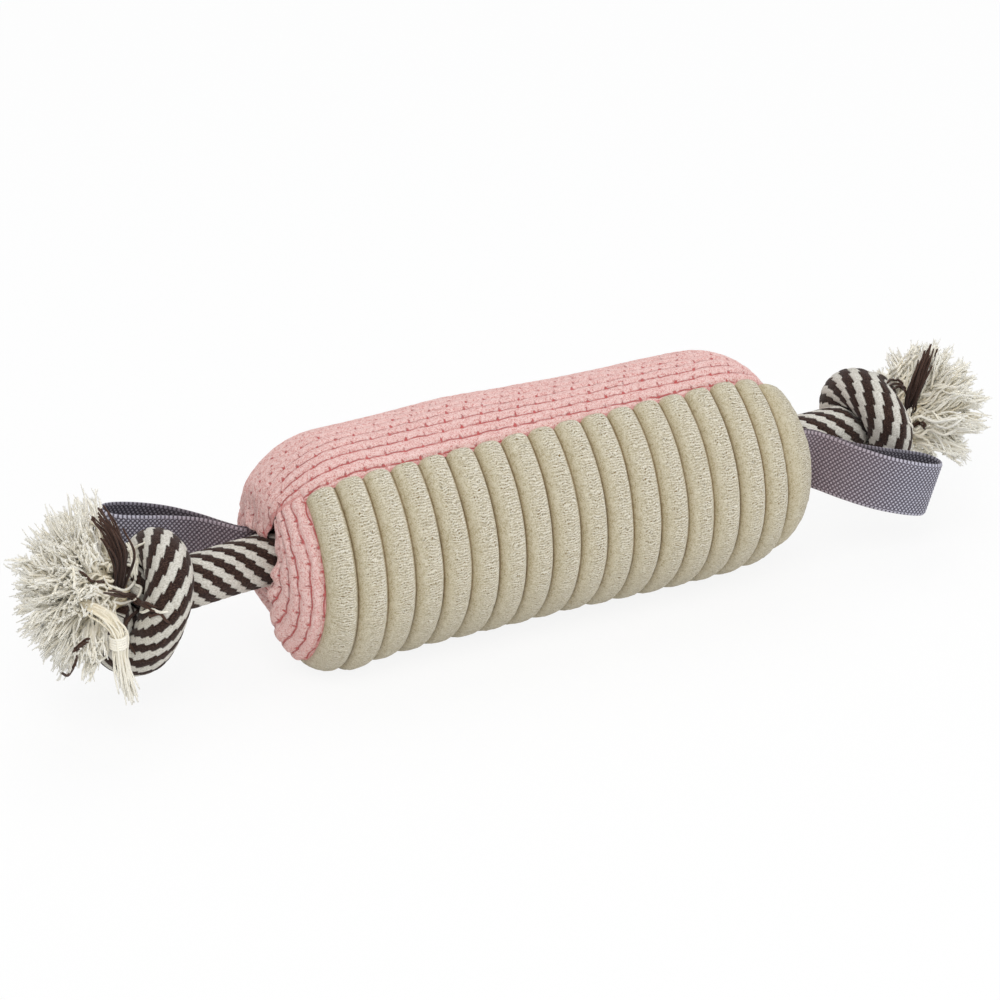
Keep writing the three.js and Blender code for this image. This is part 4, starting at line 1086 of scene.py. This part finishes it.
def bunch(route, count, spacing, seed, steps=20):
    """Strands that follow a route side by side, waver, and part at its end."""
    random = np.random.default_rng(seed)
    line = smooth_path(route, 1.0)
    share = np.linspace(0, 1, steps)[None, :, None]
    along = (share * random.uniform(0.8, 1.05, (count, 1, 1)))[..., 0].clip(0, 1)
    followed = points_along(along, np.linspace(0, 1, len(line)), line)
    widen = 0.7 + 0.4 * np.sin(math.pi * share) + 0.9 * share ** 3
    wave = 0.5 * np.sin(random.uniform(0, 6.3, (count, 1, 3)) + share * random.uniform(5, 12, (count, 1, 1)))
    return followed + random.normal(0, 1, (count, 1, 3)) * spacing * widen + wave


def bunch_mesh(name, to_toy, end, paths, radius, material, shades):
    """A bunch whose strands thin towards their tips and change from the first shade to the last, darker at
    the roots as painted shade.
    """
    places = to_toy(end, paths.reshape(-1, 3)).reshape(paths.shape)
    share = np.broadcast_to(np.linspace(0, 1, paths.shape[1]), paths.shape[:2])
    depth = shades[0] + (shades[1] - shades[0]) * share
    return strand_mesh(name, places, radius * (1 - 0.4 * share ** 4), material, depth)


def dark_strands(name, end, seed):
    scale = np.array([end["side"] * end["tassel_length"], end["tassel_radius"], end["tassel_radius"]])
    paths = bunch(np.array(DARK_BUNCH_ROUTE_SHARES) * scale, 30, 1.3, seed)
    made = bunch_mesh(
        f"{name}_dark_yarns", tassel_to_toy, end, paths, DARK_YARN_RADIUS, DARK_YARN, (0.2, 0.8),
    )
    return finish_piece(made, "dark_yarn", f"{name}_rope_end", f"{name}_dark_strands")


def hanging_strands(end, seed):
    """A bunch of strands that hangs past the knot's front, with a thread wound round it."""
    beyond, before, top = HANGING_PLACE
    foremost = (-knot_points(end)[:, 1]).max() + 7 + before + HANGING_RADIUS
    middle = np.array([end["side"] * (end["knot_distance"] + beyond), -foremost, top])
    scale = (end["side"] * HANGING_RADIUS, HANGING_RADIUS, -HANGING_LENGTH)
    paths = bunch(np.array(HANGING_ROUTE_SHARES) * scale + middle, 34, 1.15, seed)
    made = bunch_mesh("left_hanging_yarns", rope_to_toy, end, paths, HANGING_YARN_RADIUS, COTTON, (0.4, 0.9))
    finish_piece(made, "frayed_cotton", "left_rope_end", "left_hanging_strands")
    turns = np.linspace(0, TIE_TURNS, TIE_STEPS)
    around = 2 * math.pi * turns
    coil = np.stack([TIE_RADIUS * np.cos(around), TIE_RADIUS * np.sin(around), turns * TIE_PITCH], axis=1)
    coil = coil + middle - (0, 0, TIE_BELOW_TOP)
    radii = np.full((1, TIE_STEPS), 0.6)
    tie = strand_mesh("left_tie_thread", rope_to_toy(end, coil)[None], radii, COTTON, radii + 0.2, sides=6)
    finish_piece(tie, "frayed_cotton", "left_rope_end", "left_strand_tie")


def view_directions():
    """Right, up and towards the camera."""
    yaw, elevation = math.radians(VIEW_YAW_DEG), math.radians(VIEW_ELEVATION_DEG)
    right = np.array([math.cos(yaw), -math.sin(yaw), 0])
    level = math.cos(elevation)
    near = np.array([-math.sin(yaw) * level, -math.cos(yaw) * level, math.sin(elevation)])
    return right, np.cross(near, right), near


def loose_threads(name, end, kind, below):
    """Loose threads laid on what is below them, seen from the front. One with nothing below is left out."""
    right, up, near = view_directions()
    points, faces = [], []
    for piece in below:
        start = len(points)
        points += [vertex.co for vertex in piece.data.vertices]
        faces += [[start + corner for corner in polygon.vertices] for polygon in piece.data.polygons]
    tree = BVHTree.FromPolygons(points, faces)
    middle = rope_to_toy(end, [(end["side"] * end["knot_distance"], 0, 0)])[0]
    for order, route in enumerate(LOOSE_THREADS[name, kind]):
        flat = smooth_path([(a, b, 0) for a, b in route], 0.6)
        flat_places = middle + flat[:, :1] * right + flat[:, 1:2] * up
        heights = np.full(len(flat), np.nan)
        for i, place in enumerate(flat_places + THREAD_DROP * near):
            hit = tree.ray_cast(Vector(place * MM), Vector(-near))
            if hit[0] is not None:
                heights[i] = THREAD_DROP - hit[3] / MM
        known = np.flatnonzero(~np.isnan(heights))
        if not len(known):
            continue
        heights = np.interp(np.arange(len(flat)), known, heights[known])
        beside = np.pad(heights, THREAD_SMOOTHING // 2, mode="edge")
        evened = np.convolve(beside, np.ones(THREAD_SMOOTHING) / THREAD_SMOOTHING, "valid")
        heights = np.maximum(evened, heights) + THREAD_LIFT
        wave = 0.25 * np.sin(np.arange(len(flat))[:, None] * 0.55 + order)
        yield flat_places + heights[:, None] * near + wave


def lay_threads(name, end, kind, below):
    material, slot = (COTTON, "frayed_cotton") if kind == "cream" else (DARK_YARN, "dark_yarn")
    share = np.linspace(0, 1, THREAD_STEPS)
    paths = []
    for thread in loose_threads(name, end, kind, below):
        paths.append(points_along(share, np.linspace(0, 1, len(thread)), thread))
    share = np.broadcast_to(share, (len(paths), THREAD_STEPS))
    radii = THREAD_RADIUS * (1 - 0.5 * (2 * share - 1) ** 6)
    depth = 0.75 + 0 * share
    made = strand_mesh(f"{name}_loose_{kind}_threads", np.array(paths), radii, material, depth, sides=6)
    return finish_piece(made, slot, f"{name}_rope_end")


# Pieces inside the body

def stuffing(name, front):
    """One half of the filling, as lumpy fibre."""
    angles = np.linspace(-math.pi / 2, math.pi / 2, 64) + (0 if front else math.pi)
    _, x, radius, out, up, angle = spread(body_stations(2.2), angles)
    places = round_body(x, radius, out, up, angle, 0)
    lump = 0.8 * noise(places, 9, 61) + 0.5 * noise(places, 4, 62)
    shell = round_body(x, radius, out, up, angle, lumps(x, angle) + lump - STUFFING_DEPTH)
    flat = np.stack([shell[..., 0], 0 * x + (-0.4 if front else 0.4), shell[..., 2]], axis=-1)
    rings = np.concatenate([shell, flat[:, ::-1]], axis=1)
    made = make_mesh(name + "_fibre", rings.reshape(-1, 3), grid_faces(*rings.shape[:2], closed=True), FIBRE)
    return finish_piece(made, "filling", "body", name, fill=0.8)


def rope_inside():
    left, right = bend_place(ENDS["left"]), bend_place(ENDS["right"])
    path = smooth_path([left + (24, 0, 0), (left + right) / 2, right - (24, 0, 0)], 1.2)
    rings, depth, shade = rope_rings(path, np.full(len(path), ROPE_RADIUS))
    made = rope_piece("rope_through_body", rings[:, ::2], depth[:, ::2], shade[:, ::2])
    return finish_piece(made, "braided_rope", "body", "rope_core")


# Camera, floor and light

def stage_camera():
    near = view_directions()[2]
    camera = bpy.data.objects.new("camera", bpy.data.cameras.new("camera"))
    camera.location = (np.array(VIEW_AIM) + VIEW_DISTANCE * near) * MM
    camera.rotation_euler = Vector(-near).to_track_quat("-Z", "Y").to_euler()
    camera.data.sensor_width = SENSOR_WIDTH
    camera.data.lens = SENSOR_WIDTH * PIXELS_PER_MM * VIEW_DISTANCE / PICTURE_SIZE
    camera.data.shift_x = (PICTURE_SIZE / 2 - AIM_PIXEL[0]) / PICTURE_SIZE
    camera.data.shift_y = (AIM_PIXEL[1] - PICTURE_SIZE / 2) / PICTURE_SIZE
    camera.data.clip_end = 50
    bpy.context.scene.collection.objects.link(camera)
    bpy.context.scene.camera = camera


def stage_floor():
    bpy.ops.mesh.primitive_plane_add(size=FLOOR_SIZE)
    floor = bpy.context.object
    floor.name = "floor"
    floor.data.materials.append(floor_material())


def stage_lamps():
    for name, (place, size, power, colour) in LAMPS.items():
        lamp = bpy.data.objects.new(name, bpy.data.lights.new(name, "AREA"))
        lamp.data.shape = "DISK"
        lamp.data.size = size
        lamp.data.energy = power
        lamp.data.color = colour
        lamp.location = place
        lamp.rotation_euler = (-Vector(place) + Vector((0, 0, 0.05))).to_track_quat("-Z", "Y").to_euler()
        bpy.context.scene.collection.objects.link(lamp)


def stage_sky():
    """A soft sky that lights the toy, and plain white where the camera sees it."""
    world = bpy.data.worlds.new("studio")
    world.use_nodes = True
    tree = world.node_tree
    soft, white = tree.nodes["Background"], tree.nodes.new("ShaderNodeBackground")
    soft.inputs["Color"].default_value = SKY_COLOUR
    soft.inputs["Strength"].default_value = SKY_STRENGTH
    white.inputs["Strength"].default_value = 1.0
    white.inputs["Color"].default_value = (1, 1, 1, 1)
    show_directly(tree, 1, soft, white, tree.nodes["World Output"])
    bpy.context.scene.world = world
    bpy.context.scene.view_settings.view_transform = "Standard"


def show_directly(tree, share, usual, seen, output):
    """Mixes in a share of one shader where the camera sees the surface, or sees it in a mirror or glass."""
    ray = tree.nodes.new("ShaderNodeLightPath")
    total = None
    for kind in ("Is Camera Ray", "Is Glossy Ray", "Is Transmission Ray"):
        part = tree.nodes.new("ShaderNodeMath")
        part.operation = "MULTIPLY_ADD"
        part.use_clamp = True
        part.inputs[1].default_value = share
        part.inputs[2].default_value = 0
        tree.links.new(ray.outputs[kind], part.inputs[0])
        if total:
            tree.links.new(total, part.inputs[2])
        total = part.outputs[0]
    mix = tree.nodes.new("ShaderNodeMixShader")
    for source, socket in zip((total, usual.outputs[0], seen.outputs[0]), mix.inputs):
        tree.links.new(source, socket)
    tree.links.new(mix.outputs[0], output.inputs["Surface"])


def floor_material():
    """Pale floor that the camera sees nearly white, with the object's soft shadow."""
    material = bpy.data.materials.new("floor")
    material.use_nodes = True
    tree = material.node_tree
    shader = tree.nodes["Principled BSDF"]
    shader.inputs["Base Color"].default_value = FLOOR_COLOUR
    shader.inputs["Roughness"].default_value = 0.9
    glow = tree.nodes.new("ShaderNodeEmission")
    show_directly(tree, FLOOR_WHITE_SHARE, shader, glow, tree.nodes["Material Output"])
    return material


# The whole toy

stage_camera()
stage_floor()
stage_lamps()
stage_sky()
for end_name, end_values in ENDS.items():
    knot = rope_end(end_name, end_values)
    webbing_loop(end_name, end_values)
    strands = tassel(end_name, end_values, 71)
    lay_threads(end_name, end_values, "cream", [knot, strands])
    lay_threads(end_name, end_values, "dark", [knot, strands])
ribbed_panel()
corduroy_pieces()
dark_strands("left", ENDS["left"], 73)
dark_strands("right", ENDS["right"], 74)
hanging_strands(ENDS["left"], 75)
stuffing("front_stuffing", True)
stuffing("back_stuffing", False)
rope_inside()
for node in ("squeaker_bulb", "squeaker_reed"):
    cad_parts[node].data.materials.clear()
    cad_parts[node].data.materials.append(SQUEAKER)
